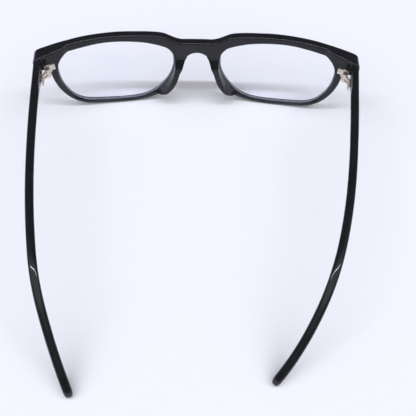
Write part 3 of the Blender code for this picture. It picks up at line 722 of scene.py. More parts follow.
class FrontLayout:
    """The front laid out flat, and the map that curves and tilts it.

    In the layout u is lateral, v is up and w is the depth behind the front face. The steps
    are how often the side and the underside of an endpiece are divided.
    """

    side_steps: int = 4
    under_steps: int = 5

    def __init__(self, sizes: FrontSizes, step: float) -> None:
        """Work out the outlines.

        Args:
            sizes: Driving dimensions.
            step: Longest distance between points of an outline.
        """
        self.sizes = sizes
        self.step = step
        self.shift = Vector((0, 0, 0))
        self.tilt = math.radians(sizes.pantoscopic)
        self.wrap = math.radians(sizes.face_form)
        self.face_slope = math.tan(math.radians(sizes.block_face_angle))
        self.opening_width = sizes.lens_width - 2 * sizes.groove_depth
        self.opening_height = sizes.lens_height - 2 * sizes.groove_depth
        self.opening_left = sizes.lens_spacing / 2 + sizes.groove_depth
        self.opening_right = self.opening_left + self.opening_width
        self.rim_left = self.opening_left - sizes.rim_nasal
        self.rim_right = self.opening_right + sizes.rim_temporal
        self.height = self.opening_height + sizes.rim_top + sizes.rim_bottom
        self.half = self.rim_right + sizes.endpiece_reach
        self.bridge_top = self.height - sizes.bridge_dip
        self.arch_top = self.bridge_top - sizes.bridge_height
        self.corner_top = self.height - sizes.corner_drop
        self.block_top = self.corner_top - sizes.block_below_corner
        self.block_bottom = self.block_top - sizes.block_height
        self.block_ref = self.rim_right - sizes.block_ref_inset
        self.ramp_start = self.opening_right - sizes.block_ramp[0]
        self.ramp_end = self.opening_right - sizes.block_ramp[1]

    @cached_property
    def opening_points(self) -> Loop:
        """Control points of the right-hand lens opening.

        Returns:
            Plan points, anticlockwise from near the top.
        """
        out = []
        for entry in self.sizes.lens_shape:
            u = self.opening_left + entry[0] * self.opening_width
            out.append(Vector((u, self.sizes.rim_bottom + entry[1] * self.opening_height)))
        return out

    @cached_property
    def opening(self) -> Loop:
        """Right-hand lens opening, anticlockwise."""
        return spline(self.opening_points, True, self.step)

    @cached_property
    def upper_edge(self) -> Loop:
        """Upper edge from the bridge centre to the top of the endpiece.

        Returns:
            Plan points in order.
        """
        top, half, corner = self.bridge_top, self.half, self.corner_top
        width = self.rim_right - self.rim_left
        points = [(out, top + rise) for out, rise in self.sizes.bridge_shape]
        points += [(self.rim_left + f * width, g * self.height) for f, g in self.sizes.upper_shape]
        points += [(half - inward, corner - down) for inward, down in self.sizes.corner_shape]
        return spline(points, False, self.step)

    @cached_property
    def lower_edge(self) -> Loop:
        """Lower edge from under the endpiece to the crown of the nose arch.

        Returns:
            Plan points in order.
        """
        inner = self.opening_points
        points = []
        for i, entry in enumerate(self.sizes.lens_shape):
            if len(entry) == 3:
                along = (inner[(i + 1) % len(inner)] - inner[i - 1]).normalized()
                reach = self.sizes.rim_bottom + entry[2]
                points.append(inner[i] + Vector((along[1], -along[0])) * reach)
        points.reverse()
        for out, down in (*self.sizes.arch_shape, (self.rim_left, 0.0)):
            points.append(Vector((self.rim_left - out, self.arch_top - down)))
        return spline(points, False, self.step)

    def underside(self, u: float) -> Vector:
        """Point of the rising underside of the endpiece block."""
        lift = self.sizes.block_lift * (u - self.rim_right) / self.sizes.endpiece_reach
        return Vector((u, self.block_bottom + lift))

    @cached_property
    def notch(self) -> tuple[Vector, Vector]:
        """Step between the underside of the endpiece block and the rim.

        Returns:
            Its upper and its lower point.
        """
        sizes = self.sizes
        low = Vector((self.rim_right + sizes.notch_at / 2, self.block_bottom - sizes.notch_drop))
        return self.underside(self.rim_right + sizes.notch_at), low

    @cached_property
    def outer_half(self) -> Loop:
        """Right half of the outer contour, clockwise from the bridge to the nose arch.

        Returns:
            Plan points in order.
        """
        out = list(self.upper_edge)
        size = self.sizes.edge_round
        nip = self.sizes.corner_nip * size
        top = out[-1]
        side = self.underside(self.half) + Vector((0.0, size))
        out += [top.lerp(side, (k + 1) / self.side_steps) for k in range(self.side_steps)]
        out.append(self.underside(self.half - nip) + Vector((0.0, nip)))
        start, end = self.underside(self.half - size), self.notch[0]
        out += [start.lerp(end, k / self.under_steps) for k in range(self.under_steps + 1)]
        out.append(self.notch[1])
        return out + self.lower_edge

    def wrap_at(self, u: float) -> float:
        """Angle by which the depth leans towards the nose.

        Args:
            u: Lateral coordinate.

        Returns:
            Signed angle in radians.
        """
        reach = abs(u)
        before, past = self.sizes.wrap_ease
        if reach <= self.rim_right - before:
            angle = self.wrap * min(1.0, reach / self.opening_left)
        else:
            k = smoothstep((reach - self.rim_right + before) / (self.sizes.endpiece_reach + past))
            angle = self.wrap + (math.radians(self.sizes.endpiece_draft) - self.wrap) * k
        return math.copysign(angle, u)

    def sag_at(self, u: float) -> float:
        """How far the front face falls back at a distance from the middle."""
        return self.sizes.sag * (u / self.half) ** 2

    def block_depth(self, u: float) -> float:
        """Depth of the endpiece block, whose back is one plane.

        Args:
            u: Lateral coordinate, positive.

        Returns:
            Depth in the layout.
        """
        ref = self.sag_at(self.block_ref) * math.cos(self.tilt)
        here = self.sag_at(u) * math.cos(self.tilt)
        x_ref = self.block_ref - self.sizes.block_depth * math.sin(self.wrap)
        total = self.sizes.block_depth * math.cos(self.wrap) + ref
        reach = total + self.face_slope * (u - x_ref) - here
        wrap = self.wrap_at(u)
        return reach / (math.cos(wrap) + self.face_slope * math.sin(wrap))

    def depth_at(self, u: float, v: float) -> float:
        """Depth of the back face.

        Args:
            u: Lateral coordinate.
            v: Height.

        Returns:
            Depth in the layout.
        """
        u = abs(u)
        sizes = self.sizes
        rise = smoothstep(v / (sizes.depth_rise * self.height))
        rim = sizes.depth_low + (sizes.depth - sizes.depth_low) * rise
        if u <= self.ramp_start or v < self.block_bottom - sizes.step_tolerance:
            return rim
        if u < self.ramp_end:
            k = (u - self.ramp_start) / (self.ramp_end - self.ramp_start)
            return rim + (self.block_depth(self.ramp_end) - rim) * k
        return self.block_depth(u)

    def bend(self, u: float, v: float, w: float) -> Vector:
        """Carry a point of the layout to its place in the frame.

        Args:
            u: Lateral coordinate.
            v: Height.
            w: Depth behind the front face.

        Returns:
            The point in millimetres.
        """
        wrap = self.wrap_at(u)
        depth = w * math.cos(wrap)
        y = v * math.sin(self.tilt) - self.sag_at(u) - depth * math.cos(self.tilt)
        z = v * math.cos(self.tilt) + depth * math.sin(self.tilt)
        return Vector((u - w * math.sin(wrap), y, z)) + self.shift

    def block_face(self, x: float, z: float) -> float:
        """Y of the back plane of the endpiece block before the frame is placed.

        Args:
            x: Lateral place, positive.
            z: Height.

        Returns:
            Y in millimetres.
        """
        x_ref = self.block_ref - self.sizes.block_depth * math.sin(self.wrap)
        ref = self.sag_at(self.block_ref) * math.cos(self.tilt)
        total = self.sizes.block_depth * math.cos(self.wrap) + ref + self.face_slope * (x - x_ref)
        return (z * math.sin(self.tilt) - total) / math.cos(self.tilt)

    def settle(self, points: Sequence[Vector]) -> None:
        """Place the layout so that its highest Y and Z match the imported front.

        Args:
            points: Points of the front while the layout is unplaced.
        """
        low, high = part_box("front")
        y = high[1] / MM - max(p.y for p in points)
        z = high[2] / MM - max(p.z for p in points)
        self.shift = Vector(((low[0] + high[0]) / 2 / MM, y, z))


@dataclass
class FrontPiece:
    """The one-piece acetate front with grooves for the lenses.

    Args:
        layout: Layout of the front.
        fill_step: Spacing of the points inside the flat faces.
        fill_squash: Share of that spacing between their rows.
        clear_edge: Distance that they keep from the rounded edge.
        clear_opening: Distance that they keep from an opening.
        clear_step: Distance that they keep from the underside of a block.
        clear_ramp: Distance that they keep from the ends of a block's ramp.
        step_half: Half the height in which the depth steps under a block.
        edge_facets: Facets of the front edge.
        bevel_facets: Facets of the other edges.
        back_round: Radius of the outer back edge.
        crease: Angle in degrees from which an edge shows.
    """

    layout: FrontLayout
    fill_step: float = 1.3
    fill_squash: float = 0.9
    clear_edge: float = 0.35
    clear_opening: float = 0.55
    clear_step: float = 0.35
    clear_ramp: float = 0.3
    step_half: float = 0.06
    edge_facets: int = 5
    bevel_facets: int = 3
    back_round: float = 0.75
    crease: float = 38.0

    def rows(self, outer: bool) -> list[tuple[float, float, float]]:
        """Rows of a wall from the front face to the back face.

        Args:
            outer: Whether the wall is the outer contour or a lens opening.

        Returns:
            Share of the full depth, extra depth and inset for each row.
        """
        sizes = self.layout.sizes
        radius = sizes.edge_round if outer else sizes.opening_bevel
        facets = self.edge_facets if outer else self.bevel_facets
        out = [(0.0, w, inset) for w, inset in arc(radius, facets)]
        if not outer:
            out += [
                (0.0, sizes.groove_at - sizes.groove_half, 0.0),
                (0.0, sizes.groove_at, sizes.groove_depth),
                (0.0, sizes.groove_at + sizes.groove_half, 0.0),
            ]
        back = self.back_round if outer else sizes.back_bevel
        out += [(1.0, -w, inset) for w, inset in reversed(arc(back, self.bevel_facets))]
        return out

    def insert(self, loop: Loop, axis: int, value: float) -> Vector:
        """Put a point where the outer part of a loop crosses a coordinate.

        Args:
            loop: Loop that receives the point.
            axis: 0 for u, 1 for v.
            value: Coordinate of the crossing.

        Returns:
            The new point, or the point that lies there already.

        Raises:
            ValueError: If the loop does not cross the coordinate.
        """
        for i, p in enumerate(loop):
            q = loop[(i + 1) % len(loop)]
            if min(p[0], q[0]) < (0 if axis == 0 else self.layout.ramp_start):
                continue
            if axis == 0 and min(p[1], q[1]) < self.layout.height / 2:
                continue
            if (p[axis] - value) * (q[axis] - value) < 0:
                mark = p.lerp(q, (value - p[axis]) / (q[axis] - p[axis]))
                mark[axis] = value
                loop.insert(i + 1, mark)
                return mark
            if p[axis] == value:
                return p
        raise ValueError("the outline does not cross the wanted line")

    def filling(self, outer: Loop, openings: Sequence[Loop]) -> Loop:
        """Grid points inside the face, clear of its edges and of the block's step.

        Args:
            outer: Outer contour.
            openings: The two lens openings.

        Returns:
            The points.
        """
        layout, step = self.layout, self.fill_step
        border = offset_loop(outer, layout.sizes.edge_round + self.clear_edge)
        holes = [offset_loop(loop, -self.clear_opening) for loop in openings]
        out = []
        columns = math.ceil(layout.half / step)
        for i in range(-columns, columns + 1):
            for j in range(math.ceil(layout.height / step) + 1):
                p = Vector(((i + 0.5 * (j % 2)) * step, j * step * self.fill_squash))
                reach = abs(p[0])
                if abs(p[1] - layout.block_bottom) < self.clear_step and reach > layout.ramp_start:
                    continue
                ramps = (layout.ramp_start, layout.ramp_end)
                if min(abs(reach - ramp) for ramp in ramps) < self.clear_ramp:
                    continue
                kept = inside(p, outer) and inside(p, border)
                if kept and not any(inside(p, hole) for hole in holes):
                    out.append(p)
        return out

    def sketch(self) -> Sketch:
        """Gather the whole front.

        Returns:
            The sketch.
        """
        layout = self.layout
        opening = list(layout.opening)
        half = list(layout.outer_half)
        low = self.insert(opening, 1, layout.block_bottom - self.step_half)
        high = self.insert(opening, 1, layout.block_bottom + self.step_half)
        marks = [(layout.notch[1], low), (layout.notch[0], high)]
        for u in (layout.ramp_start, layout.ramp_end):
            marks.append((self.insert(half, 0, u), self.insert(opening, 0, u)))
        outer = list(reversed(half)) + [Vector((-p[0], p[1])) for p in half[1:-1]]
        mirror = [Vector((-p[0], p[1])) for p in reversed(opening)]
        loops = ((outer, True, 1.0), (opening, False, -1.0), (mirror, False, -1.0))
        filling = self.filling(outer, (opening, mirror))
        out = Sketch()
        ends = []
        for loop, is_outer, sign in loops:
            flats, rings = [], []
            for share, extra, inset in self.rows(is_outer):
                moved = offset_loop(loop, sign * inset)
                depths = [share * layout.depth_at(p[0], p[1]) + extra for p in loop]
                flats.append(moved)
                rings.append(out.add([layout.bend(p[0], p[1], w) for p, w in zip(moved, depths)]))
            for first, second in zip(rings, rings[1:]):
                out.bridge(first, second)
            ends.append((loop, flats, rings))
        for row in (0, -1):
            self.cap(out, ends, row, marks, filling)
        return out

    def cap(
        self, out: Sketch, ends: Sequence[tuple[Loop, list[Loop], list[list[int]]]], row: int,
        marks: Sequence[tuple[Vector, Vector]], filling: Loop,
    ) -> None:
        """Close the front or back face.

        Args:
            out: Sketch that receives the faces.
            ends: Loop, moved loops and point indices of each wall.
            row: 0 for the front face, -1 for the back face.
            marks: Pairs of points that an edge must join.
            filling: Points inside the face.
        """
        layout = self.layout
        flat = [p for _, flats, _ in ends for p in flats[row]]
        index = [i for _, _, rings in ends for i in rings[row]]
        base = [p for loop, _, _ in ends for p in loop]
        edges = []
        start = 0
        for loop, _, _ in ends:
            edges += [(start + i, start + (i + 1) % len(loop)) for i in range(len(loop))]
            start += len(loop)
        for ends_of_edge in marks:
            for sign in (1, -1):
                pair = []
                for mark in ends_of_edge:
                    goal = Vector((sign * mark[0], mark[1]))
                    distances = [(p - goal).length_squared for p in base]
                    pair.append(distances.index(min(distances)))
                edges.append(tuple(pair))
        depths = [layout.depth_at(p[0], p[1]) if row else 0.0 for p in filling]
        index += out.add([layout.bend(p[0], p[1], w) for p, w in zip(filling, depths)])
        made = delaunay_2d_cdt(flat + filling, edges, [], FILL_HULL, FACE_TOLERANCE)
        spots, triangles, sources = made[0], made[2], made[3]
        rim, *holes = (flats[row] for _, flats, _ in ends)
        for corners in triangles:
            centre = sum((spots[i] for i in corners), Vector((0, 0))) / len(corners)
            if inside(centre, rim) and not any(inside(centre, hole) for hole in holes):
                out.face([index[sources[i][0]] for i in corners])

    def build(self, finishes: Finishes) -> bpy.types.Object:
        """Place, build and register the front.

        Args:
            finishes: Materials of the scene.

        Returns:
            The piece.
        """
        trial = self.sketch()
        self.layout.settle(trial.points)
        piece = self.sketch().build("front_polished", [finishes.acetate], self.crease)
        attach(piece, Body.FRONT.value)
        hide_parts("front")
        return piece


@dataclass
class NosePad:
    """Bonded acetate pad on the back of the nasal rim.

    Args:
        layout: Layout of the front that carries the pad.
        side: Side of the frame.
        reach: Greatest height of the pad over the back of the rim.
        flare: How far the nose side leans at full height.
        draft: How far the lens side leans at full height.
        top_drop: Start of the pad below the crown of the nose arch.
        bottom: Height in the layout at which the pad ends.
        tip: Share of its width that the pad loses by its lower end, at full height.
        tip_from: Share of its length at which the loss starts.
        sink: Depth of the foot inside the rim.
        foot: Height of the upright foot over the rim.
        nose_inset: Distance in from the nose side of the rim.
        lens_inset: Distance in from the lens opening.
        crown: Radius of the two upper edges.
        crown_start: Share of the radius that is left where the pad has no height.
        crown_facets: Facets of each upper edge.
        waist: Shares of the lean and of the height at the middle of each side.
        nose_shoulder: Shares of the flare below and within the nose edge.
        lens_shoulder: Shares of the draft below and within the lens edge.
        stations: Number of rings, before the profile's own points are met.
        crease: Angle in degrees from which an edge shows.
        profile: Share of the length and share of the height along the pad.
    """

    layout: FrontLayout
    side: Side
    reach: float = 4.3
    flare: float = 1.0
    draft: float = 0.12
    top_drop: float = 2.4
    bottom: float = 5.9
    tip: float = 0.36
    tip_from: float = 0.42
    sink: float = 0.35
    foot: float = 0.05
    nose_inset: float = 0.03
    lens_inset: float = 0.06
    crown: float = 0.45
    crown_start: float = 0.2
    crown_facets: int = 4
    waist: tuple[float, float] = (0.4, 0.5)
    nose_shoulder: tuple[float, float] = (0.8, 0.2)
    lens_shoulder: tuple[float, float] = (0.85, 0.15)
    stations: int = 40
    crease: float = 50.0
    profile: tuple[tuple[float, float], ...] = (
        (0.0, 0.015), (0.05, 0.08), (0.11, 0.2), (0.18, 0.34), (0.27, 0.5), (0.38, 0.65),
        (0.5, 0.78), (0.62, 0.88), (0.74, 0.96), (0.84, 1.0), (0.91, 0.94), (0.96, 0.72),
        (0.985, 0.44), (1.0, 0.15),
    )

    def section(self, v: float, height: float, t: float) -> Loop:
        """Ring of the pad at one height of the layout.

        Args:
            v: Height of the ring.
            height: Share of the full reach.
            t: Share of the pad's length.

        Returns:
            Points of the ring in the frame.
        """
        layout = self.layout
        middle = layout.opening_left + layout.opening_width / 2
        nose = crossing(layout.lower_edge, v, 0, middle) + self.nose_inset
        lens = crossing(layout.opening, v, 0, middle) - self.lens_inset
        base = layout.depth_at(nose, v)
        rise = self.reach * height
        slim = self.tip * smoothstep((t - self.tip_from) / (1 - self.tip_from)) * (lens - nose)
        flare, draft = self.flare * height, (self.draft + slim) * height
        back = self.crown * min(1.0, height + self.crown_start)
        side, level = self.waist
        points = [(nose, -self.sink), (nose, self.foot), (nose + side * flare, level * rise)]
        turns = [math.pi / 2 * k / self.crown_facets for k in range(self.crown_facets + 1)]
        start, rest = self.nose_shoulder
        for a in turns:
            u = nose + start * flare + (rest * flare + back) * (1 - math.cos(a))
            points.append((u, rise - back * (1 - math.sin(a))))
        start, rest = self.lens_shoulder
        for a in reversed(turns):
            u = lens - start * draft - (rest * draft + back) * (1 - math.cos(a))
            points.append((u, rise - back * (1 - math.sin(a))))
        points += [(lens - side * draft, level * rise), (lens, self.foot), (lens, -self.sink)]
        return [layout.bend(self.side.sign * u, v, base + w) for u, w in points]

    def build(self, finishes: Finishes) -> bpy.types.Object:
        """Build and register the pad.

        Args:
            finishes: Materials of the scene.

        Returns:
            The piece.
        """
        top = self.layout.arch_top - self.top_drop
        rings = []
        for t, height in spline(self.profile, False, 1.0 / self.stations):
            rings.append(self.section(top + (self.bottom - top) * t, height, t))
        name = "nose_pad_" + self.side.value
        pad = Sketch().loft(rings)
        piece = pad.build(name + "_polished", [finishes.acetate], self.crease)
        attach(piece, Body.FRONT.value)
        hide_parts(name)
        return piece


@dataclass
class Lens:
    """Clear lens with a ground bevel in the groove of the rim.

    Args:
        layout: Layout of the front that holds the lens.
        side: Side of the frame.
        edge: Thickness of the lens.
        dome: How far its middle stands forward of its edge.
        gap: Clearance in the groove.
        face_inset: Distance of the domed faces from the opening, in gaps.
        rings: Rings of each domed face.
        crease: Angle in degrees from which an edge shows.
    """

    layout: FrontLayout
    side: Side
    edge: float = 1.5
    dome: float = 1.3
    gap: float = 0.1
    face_inset: float = 2.5
    rings: int = 10
    crease: float = 25.0

    def face_ring(self, rim: Loop, scale: float, face: float) -> Loop:
        """Ring of a domed face.

        Args:
            rim: Edge of the face in the layout.
            scale: Share of the face's radius.
            face: -1 for the front face, 1 for the back face.

        Returns:
            Points of the ring, or one point where the share is 0.
        """
        layout = self.layout
        sizes = layout.sizes
        u = layout.opening_left + layout.opening_width / 2
        centre = Vector((u, sizes.rim_bottom + layout.opening_height / 2))
        w = sizes.groove_at + face * self.edge / 2 - self.dome * (1 - scale * scale)
        flat = [centre + (p - centre) * scale for p in rim]
        flat = flat if scale else flat[:1]
        return [layout.bend(self.side.sign * p[0], p[1], w) for p in flat]

    def rows(self) -> list[tuple[Loop, bool]]:
        """Rings from the middle of the front face round the edge to that of the back.

        Returns:
            Each ring, and whether it lies on the ground edge.
        """
        layout = self.layout
        sizes = layout.sizes
        half, inset = self.edge / 2, self.face_inset * self.gap
        rim = offset_loop(layout.opening, inset)
        bevel = (
            (-half, -inset), (-sizes.groove_half, -self.gap), (0.0, sizes.groove_depth - self.gap),
            (sizes.groove_half, -self.gap), (half, -inset),
        )
        shares = [k / self.rings for k in range(self.rings)]
        out = [(self.face_ring(rim, share, -1.0), False) for share in shares]
        for w, grow in bevel:
            flat = offset_loop(layout.opening, -grow)
            depth = sizes.groove_at + w
            out.append(([layout.bend(self.side.sign * p[0], p[1], depth) for p in flat], True))
        return out + [(self.face_ring(rim, share, 1.0), False) for share in reversed(shares)]

    def build(self, finishes: Finishes) -> bpy.types.Object:
        """Build and register the lens.

        Args:
            finishes: Materials of the scene.

        Returns:
            The piece.
        """
        out = Sketch()
        rows = [(out.add(ring), ground) for ring, ground in self.rows()]
        for (first, ground), (second, other) in zip(rows, rows[1:]):
            finish = 1 if ground and other else 0
            if len(first) > 1 and len(second) > 1:
                out.bridge(first, second, finish)
                continue
            point, ring = (first[0], second) if len(first) == 1 else (second[0], first)
            for i, corner in enumerate(ring):
                out.face((corner, ring[(i + 1) % len(ring)], point), finish)
        name = "lens_" + self.side.value
        piece = out.build(name + "_clear", [finishes.lens, finishes.ground_edge], self.crease)
        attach(piece, Body.FRONT.value)
        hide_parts(name)
        return piece


@dataclass(frozen=True)
class TempleCurve:
    """How far one temple stands open and how it turns in towards its tip.

    Args:
        open_in: Inward angle at the hinge, in degrees.
        turn_in: Further inward turn at the tip, in degrees.
        turn_power: How late along the temple the turn comes.
    """

    open_in: float
    turn_in: float
    turn_power: float


CURVES = {
    Side.LEFT: TempleCurve(1.2, 21.1, 1.56),
    Side.RIGHT: TempleCurve(4.9, 40.2, 2.27),
}


class Station(NamedTuple):
    """Cross-section of a temple, placed by its distance from the butt end."""

    s: float
    centre: Vector
    travel: Vector
    inward: Vector
    up: Vector


@dataclass
class Temple:
    """Acetate temple with its ear bend, rounded edges and the bore of its core wire.

    Args:
        layout: Layout of the front that the temple closes on.
        side: Side of the frame.
        curve: How the temple opens and turns in.
        length: Length along the temple from its butt end.
        thickness: Width of its front part.
        butt_height: Height of the butt end.
        outset: Middle of the butt end, in from the side of the front.
        lean: Slope of the inner face.
        lean_below: How far under the middle the slope is measured from.
        lean_rise: Lengths between which the slope sets in.
        ear_bend: Length at the middle of the ear bend.
        bend_spread: Length of the bend to each side of its middle.
        drop_limits: Angles between which the bend's angle is sought.
        drop_rounds: Halvings of that search.
        tip_round: Length over which the tip rounds off.
        tip_facets: Rings of the rounded tip.
        tip_width: Share of the width that is kept, and share that rounds off.
        tip_checks: Places where the tip may touch the ground, in lengths of tip_round past
            the start of its rounding.
        round_limit: Largest corner radius as a share of the height and the width.
        bore_radius: Radius of the core wire's bore.
        bore_length: Length of that bore.
        butt_gap: Gap between the butt end and the block.
        butt_round: Bevel of the butt end.
        butt_rounds: Corrections of a point on the butt end.
        corner_facets: Facets of each rounded corner.
        step: Longest distance between rings.
        march: Longest step when the middle line is followed.
        crease: Angle in degrees from which an edge shows.
    """

    layout: FrontLayout
    side: Side
    curve: TempleCurve
    length: float = 145.8
    thickness: float = 2.95
    butt_height: float = 6.2
    outset: float = 2.3
    lean: float = 0.19
    lean_below: float = 1.3
    lean_rise: tuple[float, float] = (7.5, 16.0)
    ear_bend: float = 97.0
    bend_spread: float = 13.0
    drop_limits: tuple[float, float] = (20.0, 50.0)
    drop_rounds: int = 24
    tip_round: float = 4.6
    tip_facets: int = 9
    tip_width: tuple[float, float] = (0.35, 0.65)
    tip_checks: tuple[float, ...] = (-2.0, -1.0, 0.0, 0.3, 0.55, 0.75, 0.9, 0.98)
    round_limit: float = 0.499
    bore_radius: float = 0.68
    bore_length: float = 112.0
    butt_gap: float = 0.12
    butt_round: float = 0.18
    butt_rounds: int = 3
    corner_facets: int = 8
    step: float = 1.5
    march: float = 0.5
    crease: float = 38.0

    @cached_property
    def profile(self) -> tuple[tuple[float, float, float, float], ...]:
        """Shape along the temple.

        Returns:
            Length, height, width and corner radius of each section.
        """
        return (
            (0.0, self.butt_height, self.thickness, 0.9),
            (14.0, 5.9, self.thickness, 1.1), (46.0, 5.1, self.thickness, 1.3),
            (self.ear_bend, 4.6, self.thickness, 1.34), (self.ear_bend + 26, 6.0, 2.9, 1.4),
            (self.length - 8, 6.5, 3.0, 1.45), (self.length, 6.4, 3.0, 1.45),
        )

    def measure(self, s: float, column: int) -> float:
        """Eased value of one column of the profile.

        Args:
            s: Length along the temple.
            column: Column of the profile.

        Returns:
            The value there.
        """
        for low, high in zip(self.profile, self.profile[1:]):
            if s <= high[0]:
                k = smoothstep((s - low[0]) / (high[0] - low[0]))
                return low[column] + (high[column] - low[column]) * k
        return self.profile[-1][column]

    def axes(self, drop: float, s: float) -> tuple[Vector, Vector, Vector]:
        """Directions at a length along the temple.

        Args:
            drop: Angle of the ear bend in degrees.
            s: Length along the temple.

        Returns:
            Travel, inward and upward directions.
        """
        sign = self.side.sign
        share = max(0.0, s) / self.length
        turn = self.curve.turn_in * share ** self.curve.turn_power
        heading = math.radians(self.curve.open_in + turn)
        first = self.ear_bend - self.bend_spread
        pitch = math.radians(drop) * smoothstep((s - first) / (2 * self.bend_spread))
        flat = Vector((-sign * math.sin(heading), -math.cos(heading), 0.0))
        inward = Vector((-sign * math.cos(heading), math.sin(heading), 0.0))
        rise = Vector((0.0, 0.0, 1.0))
        travel = flat * math.cos(pitch) - rise * math.sin(pitch)
        return travel, inward, flat * math.sin(pitch) + rise * math.cos(pitch)

    @cached_property
    def start(self) -> Vector:
        """Middle of the butt end before the frame is placed.

        Returns:
            The point in millimetres.
        """
        layout = self.layout
        middle = layout.block_top - self.butt_height / 2
        z = middle * math.cos(layout.tilt) + layout.sizes.block_depth * math.sin(layout.tilt)
        x = layout.half - self.outset
        return Vector((self.side.sign * x, layout.block_face(x, z) - self.butt_gap, z))

    def frames(self, drop: float, marks: Sequence[float]) -> list[Station]:
        """Stations at the given lengths.

        Args:
            drop: Angle of the ear bend in degrees.
            marks: Lengths along the temple, rising.

        Returns:
            The stations.
        """
        out = []
        here = self.start.copy()
        reached = 0.0
        for mark in marks:
            steps = max(1, math.ceil((mark - reached) / self.march))
            size = (mark - reached) / steps
            for k in range(steps):
                here = here + self.axes(drop, reached + (k + 0.5) * size)[0] * size
            reached = mark
            out.append(Station(mark, here.copy(), *self.axes(drop, mark)))
        return out

    def ring(self, station: Station) -> Loop:
        """Outer ring at one station.

        Args:
            station: Place of the ring.

        Returns:
            Points of the ring.
        """
        s, centre, _, inward, up = station
        height, width, radius = (self.measure(s, column) for column in (1, 2, 3))
        end = self.length - self.tip_round
        if s > end:
            shrink = math.sqrt(max(0.0, 1 - ((s - end) / self.tip_round) ** 2))
            height *= shrink
            width *= self.tip_width[0] + self.tip_width[1] * shrink
            radius = min(radius, self.round_limit * height, self.round_limit * width)
        first, last = self.lean_rise
        lean = self.lean * smoothstep((s - first) / (last - first))
        out = []
        for index, (sx, sy) in enumerate(((1, 1), (-1, 1), (-1, -1), (1, -1))):
            for k in range(self.corner_facets + 1):
                a = math.pi / 2 * (index + k / self.corner_facets)
                x = sx * (width / 2 - radius) + radius * math.cos(a)
                y = sy * (height / 2 - radius) + radius * math.sin(a)
                share = smoothstep(0.5 + x / width)
                out.append(centre + inward * (x + share * lean * (y + self.lean_below)) + up * y)
        return out

    def drop(self) -> float:
        """Angle of the ear bend that brings the tip just to the resting level.

        Returns:
            The angle in degrees.
        """
        end = self.length - self.tip_round
        marks = [end + self.tip_round * share for share in self.tip_checks]
        low, high = self.drop_limits
        for _ in range(self.drop_rounds):
            drop = (low + high) / 2
            lowest = min(p.z for station in self.frames(drop, marks) for p in self.ring(station))
            low, high = (drop, high) if lowest > 0 else (low, drop)
        return drop

    def to_butt(self, points: Sequence[Vector], travel: Vector, gap: float) -> Loop:
        """Slide points along the temple onto a plane behind the endpiece block.

        Args:
            points: Points to move.
            travel: Direction of the slide.
            gap: Distance of the plane behind the block.

        Returns:
            The moved points.
        """
        out = []
        for p in points:
            for _ in range(self.butt_rounds):
                miss = p.y - (self.layout.block_face(abs(p.x), p.z) - gap)
                p = p - travel * (miss / travel.y)
            out.append(p)
        return out

    def build(self, finishes: Finishes) -> bpy.types.Object:
        """Build and register the temple.

        Args:
            finishes: Materials of the scene.

        Returns:
            The piece.
        """
        end = self.length - self.tip_round
        count = math.ceil(end / self.step)
        marks = [end * k / count for k in range(count + 1)]
        turns = [math.pi / 2 * k / self.tip_facets for k in range(1, self.tip_facets)]
        marks += [end + self.tip_round * math.sin(a) for a in turns]
        stations = self.frames(self.drop(), marks)
        centre, travel = stations[0].centre, stations[0].travel
        outer = [self.ring(station) for station in stations]
        rim = outer[0]
        small = [centre + (p - centre) * (1 - self.butt_round / (p - centre).length) for p in rim]
        outer[0] = self.to_butt(rim, travel, self.butt_gap + self.butt_round)
        around = [2 * math.pi * (k + 0.5) / len(rim) for k in range(len(rim))]
        bore = []
        for s, middle, _, inward, up in stations:
            if s <= self.bore_length:
                spokes = [inward * math.cos(a) + up * math.sin(a) for a in around]
                bore.append([middle + spoke * self.bore_radius for spoke in spokes])
        mouth = self.to_butt(bore[0], travel, self.butt_gap)
        rings = [mouth, self.to_butt(small, travel, self.butt_gap)] + outer
        out = Sketch()
        skin = [out.add([p + self.layout.shift for p in ring]) for ring in rings]
        hole = [skin[0]] + [out.add([p + self.layout.shift for p in ring]) for ring in bore[1:]]
        for group in (skin, hole):
            for first, second in zip(group, group[1:]):
                out.bridge(first, second)
            out.face(group[-1])
        name = "temple_" + self.side.value
        piece = out.build(name + "_polished", [finishes.acetate], self.crease)
        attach(piece, Body.temple(self.side).value)
        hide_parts(name)
        return piece


@dataclass
class Metalwork:
    """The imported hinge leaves, screws, rivets and core wires with metal finishes.

    Args:
        slots: Material slots that are dressed.
    """

    slots: tuple[Slot, ...] = (Slot.HINGE, Slot.SCREW, Slot.CORE)

    def dress(self, finishes: Finishes) -> list[str]:
        """Assign the finishes.

        Args:
            finishes: Materials of the scene.

        Returns:
            Names of the dressed nodes.
        """
        chosen = {Slot.HINGE: finishes.hinge, Slot.SCREW: finishes.screw, Slot.CORE: finishes.core}
        done = []
        for entry in frame["record"]["subparts"]:
            slot = Slot(entry["material_slot"])
            if slot in self.slots:
                item = frame["nodes"][entry["node"]]
                for holder in item.material_slots:
                    holder.material = chosen[slot]
                done.append(entry["node"])
        return done


